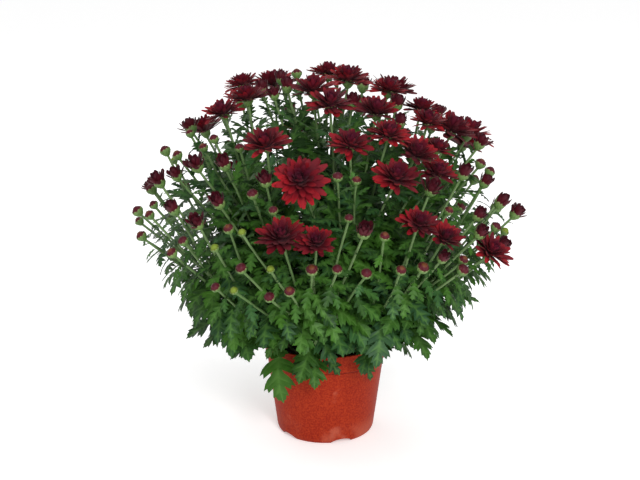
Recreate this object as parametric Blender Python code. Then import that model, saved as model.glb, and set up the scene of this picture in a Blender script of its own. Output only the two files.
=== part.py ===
"""Pot chrysanthemum: a dome of stalks, lobed leaves, buds and semi-double blooms in a tapered pot.

Metres, +Z up, origin at the middle of the pot's foot on the surface it rests on, front towards -Y.
Directions round the plant are degrees from the front, turning towards +X. Leans are degrees from straight up,
measured at the crown, the point below the soil from which every main stem comes.
"""

import math
import random
from dataclasses import dataclass, field
from enum import Enum

import bmesh
import bpy
from mathutils import Matrix, Vector
from mathutils.bvhtree import BVHTree

MM = 0.001

# Pot
RIM_RADIUS = 0.0700
RIM_HEIGHT = 0.1120
RIM_BAND_BOTTOM = 0.0920
RIM_BAND_STEP = 0.0020
BODY_FOOT_RADIUS = 0.0573
BODY_FOOT_HEIGHT = 0.0110
FOOT_BEVEL_RADIUS = 0.0548
FOOT_BEVEL_HEIGHT = 0.0030
FOOT_RADIUS = 0.0520
FOOT_INNER_RADIUS = 0.0470
WALL = 0.0014
FLOOR_BOTTOM = 0.0070
POT_SIDES = 28
NOTCH_COUNT = 5
NOTCH_FIRST = 20.0
NOTCH_HALF_WIDTH = 0.0125
NOTCH_HEIGHT = 0.0055
NOTCH_SIDES = 8
DRAIN_HOLE_RADIUS = 0.0040
DRAIN_HOLE_AT = 0.0400
DRAIN_HOLE_SIDES = 6
FOOT_SLOPE = 0.0020
BAND_LIP = 0.0006
INSIDE_STEP = 0.0010
INSIDE_TAPER = 0.0004
CUTTER_OVERRUN = 0.0020
NOTCH_DEPTH = 0.0140

# Soil
SOIL_TOP = 0.0990
SOIL_MOUND = 0.0030
SEAT_GAP = 0.0003
STEM_DEPTH = 0.0140
SOIL_SHOULDER = 0.55
HOLE_OVERRUN = 1.6

# Crown and dome of flower heads
CROWN = Vector((0.0, 0.0, 0.060))
DOME_CENTRE_HEIGHT = 0.220
DOME_RADIUS = 0.217
DOME_RISE = 0.197

# Stems and stalks
STEM_RADIUS = 0.0022
STEM_TOP_RADIUS = 0.0015
STEM_SIDES = 5
STEM_SHARE = 0.62
STALK_RADIUS = 0.0011
STALK_SIDES = 3
STALK_LOWEST = 0.16
STALK_SHARES = (0.5, 0.25, 0.04, 0.8)
STALK_FIRST_SHARE = 0.9
STALK_LEAST_SHARE = 0.04
STALK_SPREAD = 20.0
STEM_MARGIN = 0.0010
STALK_MARGIN = 0.0008

# Sprays: direction and lean of each main stem
OUTER_SPRAYS = 8
OUTER_FIRST = -8.0
OUTER_LEAN = 46.0
MIDDLE_SPRAYS = 5
MIDDLE_FIRST = 20.0
MIDDLE_LEAN = 25.0

# Open blooms: direction, lean, radius in mm, height above the dome in mm, extra tilt outwards
BLOOMS = (
    (-115, 17, 23, 5, 0), (-66, 20, 19, 2, 4), (-76, 15, 21, -4, 0), (90, 4, 27, -3, 0), (-16, 8, 22, -2, 4),
    (4, 14, 22, 2, 4), (114, 13, 24, -10, 0), (34, 16, 20, -4, 2), (100, 19, 24, -13, 0), (57, 22, 18, 2, 0),
    (80, 25, 22, -8, 0), (101, 30, 22, -4, 0), (28, 23, 24, 0, 2), (12, 23, 17, -6, 0), (38, 27, 20, 0, 8),
    (25, 31, 22, -3, 4), (44, 31, 17, -4, 0), (-27, 24, 18, -4, 4), (-9, 31, 29, 0, 30), (-13, 41, 22, -4, 0),
    (-3, 42, 15, 0, 4), (28, 40, 18, 0, 2), (36, 43, 17, 0, 4), (54, 48, 17, 0, 6), (50, 27, 13, -2, 0),
    (178, 12, 24, 0, 0), (142, 22, 22, 0, 0), (-150, 20, 22, 0, 0), (165, 30, 25, 0, 8), (122, 37, 20, 0, 0),
    (-172, 38, 21, 0, 4), (-128, 34, 20, 0, 0), (140, 45, 17, 0, 0), (-150, 46, 18, 0, 4),
)

# Half-open heads: direction and lean
HALF_OPEN = (
    (-116, 9), (-58, 8), (-102, 12), (-49, 12), (-64, 34), (-54, 31), (-73, 37), (-42, 29), (-53, 40),
    (-41, 41), (-37, 36), (55, 33), (69, 36), (37, 34), (68, 41), (84, 46), (52, 41), (50, 44), (64, 48),
    (35, 46), (11, 40), (-21, 31), (24, 13), (38, 19), (51, 16), (85, 31),
    (160, 22), (-165, 30), (-140, 27), (-110, 30), (118, 26), (150, 38), (-158, 52), (112, 50), (-105, 44),
    (178, 48), (-128, 48), (130, 52),
)

# Buds: direction and lean
BUDS = (
    (-88, 50), (-76, 48), (-82, 45), (-66, 43), (-74, 41), (-48, 44), (-34, 44), (-31, 40), (-25, 41),
    (-16, 37), (-4, 46), (3, 46), (11, 47), (21, 47), (28, 47), (17, 41), (7, 37), (42, 49), (44, 47),
    (-32, 51), (-26, 51), (-16, 51), (-10, 50), (-51, 47), (-24, 47), (-16, 46), (-139, 8), (-85, 27),
    (-77, 31), (-61, 27), (-57, 25), (-40, 25), (-26, 33), (4, 30), (11, 30), (78, 33), (69, 46), (65, 44),
    (42, 38), (51, 39),
    (98, 38), (104, 46), (120, 44), (132, 32), (146, 52), (155, 46), (168, 52), (170, 40), (-176, 26),
    (-165, 45), (-158, 38), (-142, 38), (-138, 52), (-118, 52), (-117, 40), (-100, 35), (-98, 50), (-92, 41),
    (-120, 25), (158, 6),
)

# Head shapes
CUP_DEPTH = 0.0068
CUP_RADIUS = 0.0056
BLOOM_CUP_SIZE = 22.0
HALF_OPEN_RADIUS = 0.0088
BUD_RADIUS = 0.0058
CUP_SUNK = 0.8
SMALL_CUP_SHARE = 0.55
HALF_OPEN_SIZES = (0.88, 1.16)
HALF_OPEN_LEVELS = (-6, 4)
BUD_SIZES = (0.75, 1.15)
BUD_LEVELS = (-8, 4)
HALF_OPEN_TIPS = (1.0, 1.35)
HALF_OPEN_GAPS = (0.72, 0.85)
HALF_OPEN_MIDDLE = 0.7
BUD_TOP = 0.95
OUTER_PETAL_RISE = 12.0
RISE_STEP = 5.0
INNER_PETAL_RISE = 40.0
INNER_PETAL_SHARE = 0.74
PETAL_THICKNESS = 0.0007
PETAL_SHOULDER = 0.70
PETAL_TIP_DROP = 0.0012
CORE_TOP_SHARE = 0.85
CORE_RADIUS = 0.0046
CORE_HEIGHT = 0.0046
OUTER_ROOT = 0.0014
INNER_ROOT = 0.0026
PETAL_WIDTH_SHARE = 2.3
LARGE_BLOOM = 0.0225
PETALS = 6
LARGE_BLOOM_PETALS = 7

# How heads face, and how far apart they keep
BLOOM_FACING_SHARE = 0.66
BUD_FACING_SHARE = 0.82
PARTING_ROUNDS = 160
PARTING_REACH = 0.0040
LAYER_GAP = 0.0030
SIDE_SHARE = 0.96
BLOOM_LAYER = 0.0130
BUD_LAYER = 0.0200

# Free space kept round a head, as shares of its radius
BLOOM_EDGE_SHARE = 0.20
BLOOM_TOP_SHARE = 0.56
BLOOM_TOP_RADIUS = 0.6
BLOOM_MARGIN = 0.0020
HALF_OPEN_SPACE = (1.1, 1.5)
BUD_SPACE = 1.2
ENVELOPE_SIDES = 10

# Which half-open heads and buds have a solid
RIM_LEAN = 50
KEPT = 3
KEPT_OF = 8

# Leaves
LEAF_THICKNESS = 0.0008
LEAF_STATIONS = (0.40, 0.54, 0.72)
LEAF_HALF_WIDTHS = (0.45, 0.12, 0.36)
LEAF_RISES = (-0.06, 0.02, -0.04)
LEAF_LOBE_FROM = 0.20
LEAF_LOBE_AHEAD = 0.10
LEAF_WIDTH_SHARE = 0.72
LEAF_ENVELOPE = 0.0020
LEAF_LENGTH = 0.062
LEAF_TAPER = 0.018
LEAF_SIZES = (0.92, 1.1)
LEAF_SKY_PULL = 0.6
STALK_LEAF_LENGTH = 0.040
STALK_LEAF_SIZES = (0.85, 1.15)
STALK_LEAF_SHARES = (0.3, 0.55)
STALK_LEAF_FAN = 70
CLEAR_LEAF_TRIES = ((2, 1.0), (1, 1.0), (1, 0.85), (1, 0.7))
LEAF_TRIES = (*CLEAR_LEAF_TRIES, (0, 1.0), (0, 0.8), (0, 0.65))
OUTER_LEAF_SHARES = (0.26, 0.30, 0.36, 0.54, 0.74, 0.93)
OUTER_LEAF_FAN = (-60, 60, 0, -40, 40, 0)
MIDDLE_LEAF_SHARES = (0.40, 0.70, 0.97)
MIDDLE_LEAF_TURN = 50
LOW_HEAD_LEAN = 43
LOW_LEAF_EVERY = 2
HIGH_LEAF_EVERY = 4
LEAF_SWINGS = (0, 12, -12, 24, -24, 38, -38, 55, -55, 80, -80, 110, -110, 150, -150, 180)
LEAF_POSES = ((15, 40), (30, 45), (0, 45), (45, 40), (62, 30))
SKIRT_LEAF_POSES = ((20, 75), (35, 60), (5, 70), (50, 50), (62, 30))
GOLDEN_TURN = 137.5

SEED = 3


class Kind(Enum):
    """What stands on the end of a stalk."""

    BLOOM = "bloom"
    HALF_OPEN = "half_open"
    BUD = "bud"


def direction(turn: float, lean: float) -> Vector:
    """Unit vector for a direction round the plant and a lean from straight up.

    Args:
        turn: degrees from the front, towards +X.
        lean: degrees from +Z.

    Returns:
        The unit vector.
    """
    round_z, from_up = math.radians(turn), math.radians(lean)
    out = math.sin(from_up)
    return Vector((out * math.sin(round_z), -out * math.cos(round_z), math.cos(from_up)))


def dome_point(turn: float, lean: float, level: float) -> Vector:
    """Point where a ray from the crown leaves the dome of flower heads.

    Args:
        turn: degrees from the front, towards +X.
        lean: degrees from +Z at the crown.
        level: metres further out along the ray.

    Returns:
        The point.
    """
    ray = direction(turn, lean)
    scale = Vector((1 / DOME_RADIUS, 1 / DOME_RADIUS, 1 / DOME_RISE))
    start = (CROWN - Vector((0, 0, DOME_CENTRE_HEIGHT))) * scale
    step = ray * scale
    a, b, c = step.dot(step), 2 * start.dot(step), start.dot(start) - 1
    return CROWN + ray * ((-b + math.sqrt(b * b - 4 * a * c)) / (2 * a) + level)


def lean_of(point: Vector) -> float:
    """Degrees between straight up and the ray from the crown to a point."""
    return math.degrees((point - CROWN).angle(Vector((0, 0, 1)), 0.0))


def turn_of(point: Vector) -> float:
    """Degrees round the plant of a point."""
    return math.degrees(math.atan2(point.x, -point.y))


def frame_of(along: Vector, facing: Vector) -> Matrix:
    """Rotation whose Y runs along one vector and whose Z is as near as it can be to another.

    Args:
        along: the direction of Y.
        facing: the wished direction of Z.

    Returns:
        A 3 x 3 rotation.
    """
    y = along.normalized()
    x = y.cross(facing)
    if x.length < 1e-6:
        x = y.cross(Vector((0.3, 0.2, 0.9)))
    x.normalize()
    return Matrix((x, y, x.cross(y))).transposed()


def bezier(a: Vector, b: Vector, c: Vector, d: Vector, steps: int) -> list[Vector]:
    """Points of a cubic Bezier curve, ends included."""
    points = []
    for i in range(steps + 1):
        t = i / steps
        s = 1 - t
        points.append(a * s**3 + b * 3 * s * s * t + c * 3 * s * t * t + d * t**3)
    return points


@dataclass
class Head:
    """One bloom, half-open head or bud, at the end of its stalk."""

    kind: Kind
    number: int
    radius: float
    seat: Vector
    axis: Vector
    nod: float = 0.0
    spray: int = 0
    stalk: list[Vector] = field(default_factory=list)

    @property
    def scale(self) -> float:
        """Size of the green cup against the plain one."""
        if self.kind is Kind.BLOOM:
            return SMALL_CUP_SHARE + (1 - SMALL_CUP_SHARE) * self.radius / MM / BLOOM_CUP_SIZE
        return self.radius / (HALF_OPEN_RADIUS if self.kind is Kind.HALF_OPEN else BUD_RADIUS)

    @property
    def matrix(self) -> Matrix:
        """Place of the head: Z along its axis, origin where the petals sit on the cup."""
        x = self.axis.cross(Vector((0, 1, 0))).normalized()
        turn = Matrix.Rotation(self.number * math.radians(GOLDEN_TURN), 4, "Z")
        basis = Matrix((x, self.axis.cross(x), self.axis)).transposed().to_4x4()
        return Matrix.Translation(self.seat) @ basis @ turn


@dataclass
class Leaf:
    """One lobed leaf: where it grows, which way it sets off, how it droops."""

    root: Vector
    along: Vector
    facing: Vector
    length: float
    width: float
    droop: float
    spray: int
    number: int

    def frame(self, share: float) -> Matrix:
        """Place on the midrib at a share of the leaf's length, X across and Z on the upper side.

        Args:
            share: 0 at the root, 1 at the tip.

        Returns:
            A 4 x 4 placement.
        """
        start = frame_of(self.along, self.facing)
        total = math.radians(self.droop)
        bent = total * share
        chord = self.length * share
        if abs(bent) < 1e-6:
            offset = Vector((0, chord, 0))
        else:
            reach = chord / bent
            offset = Vector((0, reach * math.sin(bent), -reach * (1 - math.cos(bent))))
        turned = start.to_4x4() @ Matrix.Rotation(-bent, 4, "X")
        return Matrix.Translation(self.root + start @ offset) @ turned


class Obstacle:
    """A solid already placed, for telling whether the next one is clear of it."""

    def __init__(
        self,
        owner: str,
        points: list[Vector],
        faces: list[tuple[int, ...]],
        name: str = "",
        firm: bool = True,
    ) -> None:
        """Keeps the shape as a tree.

        Args:
            owner: the node it belongs to.
            points: corners.
            faces: indices of each face's corners.
            name: what it is, where a leaf grows on it.
            firm: whether the solids hold it, and not the fine form alone.
        """
        self.owner = owner
        self.name = name
        self.firm = firm
        self.centre = sum(points, Vector()) / len(points)
        self.reach = max((p - self.centre).length for p in points)
        self.tree = BVHTree.FromPolygons([tuple(p) for p in points], faces)

    def hits(self, other: "Obstacle") -> bool:
        """Whether two solids' surfaces cross."""
        if (self.centre - other.centre).length > self.reach + other.reach:
            return False
        return bool(self.tree.overlap(other.tree))


Shape = tuple[list[Vector], list[tuple[int, ...]]]


def ring_shape(profile: list[tuple[float, float]], sides: int, place: Matrix) -> Shape:
    """Closed shape turned about Z from (radius, height) pairs, from bottom to top.

    Args:
        profile: radius and height of each ring; a radius of zero is a point.
        sides: corners of each ring.
        place: placement of the result.

    Returns:
        Points and faces.
    """
    points: list[Vector] = []
    rings: list[list[int]] = []
    for radius, height in profile:
        first = len(points)
        count = sides if radius > 0 else 1
        for i in range(count):
            turn = math.tau * i / sides
            points.append(place @ Vector((radius * math.cos(turn), radius * math.sin(turn), height)))
        rings.append(list(range(first, first + count)))
    faces: list[tuple[int, ...]] = []
    for low, high in zip(rings, rings[1:]):
        for i in range(sides):
            j = (i + 1) % sides
            if len(low) == 1:
                faces.append((low[0], high[j], high[i]))
            elif len(high) == 1:
                faces.append((low[i], low[j], high[0]))
            else:
                faces.append((low[i], low[j], high[j], high[i]))
    if len(rings[0]) > 1:
        faces.append(tuple(reversed(rings[0])))
    if len(rings[-1]) > 1:
        faces.append(tuple(rings[-1]))
    return points, faces


def tube_shape(path: list[Vector], radii: list[float], sides: int) -> Shape:
    """Closed tube along a path.

    Args:
        path: centre of each ring.
        radii: radius of each ring.
        sides: corners of each ring.

    Returns:
        Points and faces.
    """
    points: list[Vector] = []
    for i, (centre, radius) in enumerate(zip(path, radii)):
        ahead = (path[min(i + 1, len(path) - 1)] - path[max(i - 1, 0)]).normalized()
        side = ahead.cross(Vector((0, 1, 0))).normalized()
        other = ahead.cross(side)
        for j in range(sides):
            turn = math.tau * j / sides
            points.append(centre + (side * math.cos(turn) + other * math.sin(turn)) * radius)
    faces: list[tuple[int, ...]] = []
    for i in range(len(path) - 1):
        for j in range(sides):
            a, b = i * sides + j, i * sides + (j + 1) % sides
            faces.append((a, b, b + sides, a + sides))
    faces.append(tuple(reversed(range(sides))))
    faces.append(tuple(range(len(points) - sides, len(points))))
    return points, faces


def leaf_shape(leaf: Leaf, thickness: float) -> Shape:
    """Lobed blade of a leaf as a closed shape, split into triangles alike on both faces.

    Args:
        leaf: where the leaf is and how big.
        thickness: of the blade.

    Returns:
        Points and faces.
    """
    outline: list[Vector] = []
    rows = [(0.0, 0.0, 0.0)]
    rows += list(zip(LEAF_STATIONS, LEAF_HALF_WIDTHS, LEAF_RISES))
    rows += [(1.0, 0.0, 0.0)]
    levels: list[list[int]] = []
    normals: list[Vector] = []
    for share, half, rise in rows:
        place = leaf.frame(share)
        ahead = LEAF_LOBE_AHEAD if half > LEAF_LOBE_FROM else 0.0
        row = []
        for side in ((-1, 1) if half > 0 else (0,)):
            row.append(len(outline))
            spot = Vector((side * half * leaf.width, ahead * leaf.width, rise * leaf.width))
            outline.append(place @ spot)
            normals.append((place.to_3x3() @ Vector((0, 0, 1))).normalized())
        levels.append(row)
    count = len(outline)
    points = [p + n * thickness / 2 for p, n in zip(outline, normals)]
    points += [p - n * thickness / 2 for p, n in zip(outline, normals)]
    faces: list[tuple[int, ...]] = []
    for low, high in zip(levels, levels[1:]):
        if len(low) == 1:
            top = [(low[0], high[1], high[0])]
        elif len(high) == 1:
            top = [(low[0], low[1], high[0])]
        else:
            top = [(low[0], low[1], high[1]), (low[0], high[1], high[0])]
        faces += top
        faces += [tuple(i + count for i in reversed(face)) for face in top]
    left = [row[0] for row in levels]
    right = [row[-1] for row in levels]
    border = right + list(reversed(left))[1:-1]
    for a, b in zip(border, border[1:] + border[:1]):
        faces.append((a, a + count, b))
        faces.append((b, a + count, b + count))
    return points, faces


def in_coarse_form(head: Head) -> bool:
    """Whether a head is kept: every open bloom, the outermost others, and three in eight of the rest."""
    return head.kind is Kind.BLOOM or lean_of(head.seat) > RIM_LEAN or head.number % KEPT_OF < KEPT


def buried(point: Vector) -> bool:
    """Whether a point lies in the pot or its soil."""
    return point.z < SOIL_TOP + SOIL_MOUND and point.xy.length < RIM_RADIUS + MM


class Plan:
    """Where everything stands: sprays, heads and leaves, each clear of what was placed before it."""

    def __init__(self) -> None:
        """Lays the whole plant out."""
        self.draw = random.Random(SEED)
        self.axes = [direction(0, 0)]
        for i in range(MIDDLE_SPRAYS):
            self.axes.append(direction(MIDDLE_FIRST + i * 360 / MIDDLE_SPRAYS, MIDDLE_LEAN))
        for i in range(OUTER_SPRAYS):
            self.axes.append(direction(OUTER_FIRST + i * 360 / OUTER_SPRAYS, OUTER_LEAN))
        self.stems: list[list[Vector]] = []
        self.obstacles: list[Obstacle] = []
        self.heads: list[Head] = []
        self.leaves: list[Leaf] = []
        self.place_pot()
        self.place_stems()
        self.place_heads()
        self.place_leaves()

    def place_pot(self) -> None:
        """Keeps the pot and soil as one obstacle."""
        profile = [(0, 0), (FOOT_RADIUS, 0), (RIM_RADIUS + MM, RIM_BAND_BOTTOM)]
        profile += [(RIM_RADIUS + MM, RIM_HEIGHT + MM), (RIM_RADIUS - 4 * MM, RIM_HEIGHT + MM)]
        profile += [(RIM_RADIUS - 4 * MM, SOIL_TOP), (0, SOIL_TOP + SOIL_MOUND + MM)]
        self.obstacles.append(Obstacle("pot", *ring_shape(profile, POT_SIDES, Matrix.Identity(4))))

    def place_stems(self) -> None:
        """Straight main stems from the soil, each inside its own cone about its spray's axis."""
        for number, axis in enumerate(self.axes):
            start = CROWN + axis * ((SOIL_TOP - STEM_DEPTH - CROWN.z) / axis.z)
            edge = dome_point(turn_of(CROWN + axis), lean_of(CROWN + axis), 0.0)
            end = CROWN + (edge - CROWN) * STEM_SHARE
            path = [start.lerp(end, i / 4) for i in range(5)]
            self.stems.append(path)
            radii = [STEM_RADIUS + STEM_MARGIN] * len(path)
            shape = tube_shape(path, radii, STEM_SIDES)
            self.obstacles.append(Obstacle(f"spray_{number}", *shape, f"stem_{number}"))

    def place_heads(self) -> None:
        """Sets the heads on the dome, moves them apart, then grows a stalk to each."""
        number = 0
        for turn, lean, radius, level, nod in BLOOMS:
            self.add_head(Kind.BLOOM, number, turn, lean, radius * MM, level * MM, nod)
            number += 1
        for turn, lean in HALF_OPEN:
            size = HALF_OPEN_RADIUS * self.draw.uniform(*HALF_OPEN_SIZES)
            level = self.draw.uniform(*HALF_OPEN_LEVELS) * MM
            self.add_head(Kind.HALF_OPEN, number, turn, lean, size, level, 0)
            number += 1
        for turn, lean in BUDS:
            size = BUD_RADIUS * self.draw.uniform(*BUD_SIZES)
            level = self.draw.uniform(*BUD_LEVELS) * MM
            self.add_head(Kind.BUD, number, turn, lean, size, level, 0)
            number += 1
        for _ in range(PARTING_ROUNDS):
            self.part_heads()
        grown = []
        for head in self.heads:
            if self.grow_stalk(head):
                grown.append(head)
        self.heads = grown

    def add_head(
        self, kind: Kind, number: int, turn: float, lean: float, radius: float, level: float, nod: float
    ) -> None:
        """Adds one head at its wished place.

        Args:
            kind: what it is.
            number: its place in the order of growth.
            turn: degrees round the plant.
            lean: degrees from straight up at the crown.
            radius: of the head.
            level: metres outside the dome.
            nod: extra tilt outwards in degrees.
        """
        seat = dome_point(turn, lean, level)
        self.heads.append(Head(kind, number, radius, seat, Vector((0, 0, 1)), nod))
        self.heads[-1].axis = self.axis_at(self.heads[-1])

    def axis_at(self, head: Head) -> Vector:
        """Way a head faces: less leaned than its place on the dome, plus its own nod."""
        share = BLOOM_FACING_SHARE if head.kind is Kind.BLOOM else BUD_FACING_SHARE
        return direction(turn_of(head.seat), lean_of(head.seat) * share + head.nod)

    def part_heads(self) -> None:
        """One round of moving heads apart that are too near each other."""
        for i, a in enumerate(self.heads):
            for b in self.heads[i + 1 :]:
                apart = b.seat - a.seat
                if apart.length > a.radius + b.radius + PARTING_REACH:
                    continue
                out = (a.axis + b.axis).normalized()
                rise = apart.dot(out)
                across = apart - out * rise
                if across.length < 1e-6:
                    across = Vector((MM, 0, 0))
                lower = a if rise > 0 else b
                under = lower.radius + LAYER_GAP
                side = SIDE_SHARE * (a.radius + b.radius) + MM
                high = BLOOM_LAYER if Kind.BLOOM in (a.kind, b.kind) else BUD_LAYER
                move = Vector()
                if across.length < under:
                    move = across.normalized() * (under - across.length)
                elif across.length < side and abs(rise) < high:
                    sideways, upright = side - across.length, high - abs(rise)
                    if sideways < upright:
                        move = across.normalized() * sideways
                    else:
                        move = out * math.copysign(upright, rise)
                weight = b.radius / (a.radius + b.radius)
                a.seat = a.seat - move * weight * 0.5
                b.seat = b.seat + move * (1 - weight) * 0.5
        for head in self.heads:
            head.axis = self.axis_at(head)

    def grow_stalk(self, head: Head) -> bool:
        """Grows a stalk from the nearest spray's main stem to a head, clear of the other sprays.

        Args:
            head: the head, already on its place.

        Returns:
            Whether a clear way was found.
        """
        ray = (head.seat - CROWN).normalized()
        order = sorted(range(len(self.axes)), key=lambda k: -ray.dot(self.axes[k]))
        foot = head.seat - head.axis * CUP_DEPTH * head.scale * CUP_SUNK
        for spray in order[:2]:
            stem = self.stems[spray]
            spread = math.degrees(ray.angle(self.axes[spray]))
            lowest = stem[0].lerp(stem[-1], STALK_LOWEST)
            first = max(STALK_LEAST_SHARE, STALK_FIRST_SHARE - spread / STALK_SPREAD)
            for share in (first, *STALK_SHARES):
                start = lowest.lerp(stem[-1], share)
                reach = (foot - start).length / 3
                path = bezier(start, start + self.axes[spray] * reach, foot - head.axis * reach, foot, 2)
                radii = [STALK_RADIUS + STALK_MARGIN] * len(path)
                firm = in_coarse_form(head)
                name = f"stalk_{head.number}"
                tube = Obstacle(f"spray_{spray}", *tube_shape(path, radii, STALK_SIDES), name, firm)
                top = Obstacle(f"head_{head.number}", *self.head_envelope(head), "", firm)
                if self.clear(tube, spray) and self.clear(top, -1):
                    head.spray = spray
                    head.stalk = path
                    self.obstacles += [tube, top]
                    return True
        return False

    def clear(self, shape: Obstacle, spray: int) -> bool:
        """Whether a shape crosses nothing placed, apart from the stem and stalks of its own spray."""
        own = f"spray_{spray}"
        return not any(o.owner != own and o.hits(shape) for o in self.obstacles)

    def clear_leaf(self, shape: Obstacle, host: str, care: int) -> bool:
        """Whether a leaf is clear of what is placed.

        Args:
            shape: the leaf.
            host: name of the stem or stalk that it grows on.
            care: 0 to keep off the solids of other nodes, 1 off its own too, 2 off the fine form as well.

        Returns:
            Whether it is clear.
        """
        for other in self.obstacles:
            own = other.owner == shape.owner
            if other.name == host or (care < 2 and not other.firm) or (care < 1 and own):
                continue
            if other.hits(shape):
                return False
        return True

    def head_envelope(self, head: Head) -> Shape:
        """Closed shape round all of a head."""
        r, s = head.radius, head.scale
        cup = (0.0, -CUP_DEPTH * s)
        if head.kind is Kind.BLOOM:
            edge, top = r * BLOOM_EDGE_SHARE, r * BLOOM_TOP_SHARE + BLOOM_MARGIN
            profile = [cup, (CUP_RADIUS * s + MM, 0.0), (r, edge - MM), (r, edge + BLOOM_MARGIN)]
            profile += [(r * BLOOM_TOP_RADIUS, top), (0.0, top)]
        elif head.kind is Kind.HALF_OPEN:
            rim, top = HALF_OPEN_SPACE
            profile = [cup, (CUP_RADIUS * s, 0.0), (r, r * rim), (0.0, r * top)]
        else:
            profile = [cup, (r, 0.0), (0.0, r * BUD_SPACE)]
        return ring_shape(profile, ENVELOPE_SIDES, head.matrix)

    def place_leaves(self) -> None:
        """Grows leaves up every main stem and on the stalks, each turned until it is clear."""
        for spray, stem in enumerate(self.stems):
            outer = spray > MIDDLE_SPRAYS
            shares = OUTER_LEAF_SHARES if outer else MIDDLE_LEAF_SHARES
            for i, share in enumerate(shares):
                root = stem[0].lerp(stem[-1], share)
                length = (LEAF_LENGTH - LEAF_TAPER * share) * self.draw.uniform(*LEAF_SIZES)
                fan = OUTER_LEAF_FAN[i] if outer else i * GOLDEN_TURN + spray * MIDDLE_LEAF_TURN
                poses = SKIRT_LEAF_POSES if outer and i < 3 else LEAF_POSES
                axis, host = self.axes[spray], f"stem_{spray}"
                self.place_leaf(spray, host, root, axis, length, fan, poses, LEAF_TRIES)
        for head in self.heads:
            every = LOW_LEAF_EVERY if lean_of(head.seat) > LOW_HEAD_LEAN else HIGH_LEAF_EVERY
            if not in_coarse_form(head) or head.number % every > 0:
                continue
            share = self.draw.uniform(*STALK_LEAF_SHARES)
            root = head.stalk[0].lerp(head.stalk[1], 2 * share)
            along = (head.stalk[1] - head.stalk[0]).normalized()
            length = STALK_LEAF_LENGTH * self.draw.uniform(*STALK_LEAF_SIZES)
            fan = self.draw.uniform(-STALK_LEAF_FAN, STALK_LEAF_FAN)
            host = f"stalk_{head.number}"
            self.place_leaf(head.spray, host, root, along, length, fan, LEAF_POSES, CLEAR_LEAF_TRIES)

    def place_leaf(
        self,
        spray: int,
        host: str,
        root: Vector,
        axis: Vector,
        length: float,
        fan: float,
        poses: tuple[tuple[float, float], ...],
        tries: tuple[tuple[int, float], ...],
    ) -> bool:
        """Turns one leaf round its stem until it is clear, shorter if it has to be.

        Args:
            spray: whose leaf it is.
            host: name of the stem or stalk that it grows on.
            root: point on the stem.
            axis: the stem's way there.
            length: wished length.
            fan: wished turn round the stem, 0 straight outwards from the plant.
            poses: rise and droop to try, best first.
            tries: care and share of the wished length to try, best first.

        Returns:
            Whether a clear place was found.
        """
        number = len(self.leaves)
        for care, size in tries:
            for swing in LEAF_SWINGS:
                for rise, droop in poses:
                    pose = (fan + swing, rise, droop)
                    leaf = self.turned_leaf(spray, number, root, axis, length * size, *pose)
                    points, faces = leaf_shape(leaf, LEAF_ENVELOPE)
                    if any(buried(p) for p in points):
                        continue
                    shape = Obstacle(f"spray_{spray}", points, faces)
                    if self.clear_leaf(shape, host, care):
                        self.leaves.append(leaf)
                        self.obstacles.append(shape)
                        return True
        return False

    def turned_leaf(
        self,
        spray: int,
        number: int,
        root: Vector,
        axis: Vector,
        length: float,
        turn: float,
        rise: float,
        droop: float,
    ) -> Leaf:
        """A leaf set round its stem.

        Args:
            spray: whose stem it grows on.
            number: its place in the order of growth.
            root: point on the stem.
            axis: the stem's way there.
            length: from root to tip.
            turn: degrees round the stem, 0 straight outwards from the plant.
            rise: degrees above square to the stem.
            droop: degrees that the midrib bends down over its length.

        Returns:
            The leaf.
        """
        out = Vector((axis.x, axis.y, 0.0)) if axis.xy.length > 0.1 else Vector((0, -1, 0))
        square = (out - axis * out.dot(axis)).normalized()
        square = Matrix.Rotation(math.radians(turn), 3, axis) @ square
        up = math.radians(rise)
        along = square * math.cos(up) + axis * math.sin(up)
        facing = axis * math.cos(up) - square * math.sin(up) + Vector((0, 0, LEAF_SKY_PULL))
        return Leaf(root, along, facing, length, length * LEAF_WIDTH_SHARE, droop, spray, number)


def paint(name: str, colour: tuple[float, float, float], roughness: float) -> bpy.types.Material:
    """Makes a plain material.

    Args:
        name: of the material.
        colour: base colour.
        roughness: of the surface.

    Returns:
        The material.
    """
    material = bpy.data.materials.new(name)
    material.use_nodes = True
    shader = material.node_tree.nodes["Principled BSDF"]
    shader.inputs["Base Color"].default_value = (*colour, 1.0)
    shader.inputs["Roughness"].default_value = roughness
    return material


def add_object(name: str, shape: Shape) -> bpy.types.Object:
    """Adds a mesh object with its faces turned outwards.

    Args:
        name: of the object.
        shape: points and faces.

    Returns:
        The object.
    """
    mesh = bpy.data.meshes.new(name)
    mesh.from_pydata([tuple(p) for p in shape[0]], [], shape[1])
    work = bmesh.new()
    work.from_mesh(mesh)
    bmesh.ops.recalc_face_normals(work, faces=work.faces)
    work.to_mesh(mesh)
    work.free()
    made = bpy.data.objects.new(name, mesh)
    bpy.context.scene.collection.objects.link(made)
    return made


def combine(target: bpy.types.Object, shapes: list[Shape], operation: str) -> None:
    """Joins shapes to an object, or cuts them from it, in one Boolean on a collection.

    Args:
        target: object that changes.
        shapes: points and faces of each other body.
        operation: UNION or DIFFERENCE.
    """
    group = bpy.data.collections.new(target.name + "_bodies")
    bpy.context.scene.collection.children.link(group)
    bodies = [add_object(f"{target.name}_body_{i}", shape) for i, shape in enumerate(shapes)]
    for body in bodies:
        bpy.context.scene.collection.objects.unlink(body)
        group.objects.link(body)
    modifier = target.modifiers.new("Combine", "BOOLEAN")
    modifier.operation = operation
    modifier.operand_type = "COLLECTION"
    modifier.collection = group
    modifier.solver = "EXACT"
    bpy.context.view_layer.objects.active = target
    bpy.ops.object.modifier_apply(modifier=modifier.name)
    for body in bodies:
        bpy.data.objects.remove(body)
    bpy.data.collections.remove(group)
    keep_main_body(target)


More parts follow.
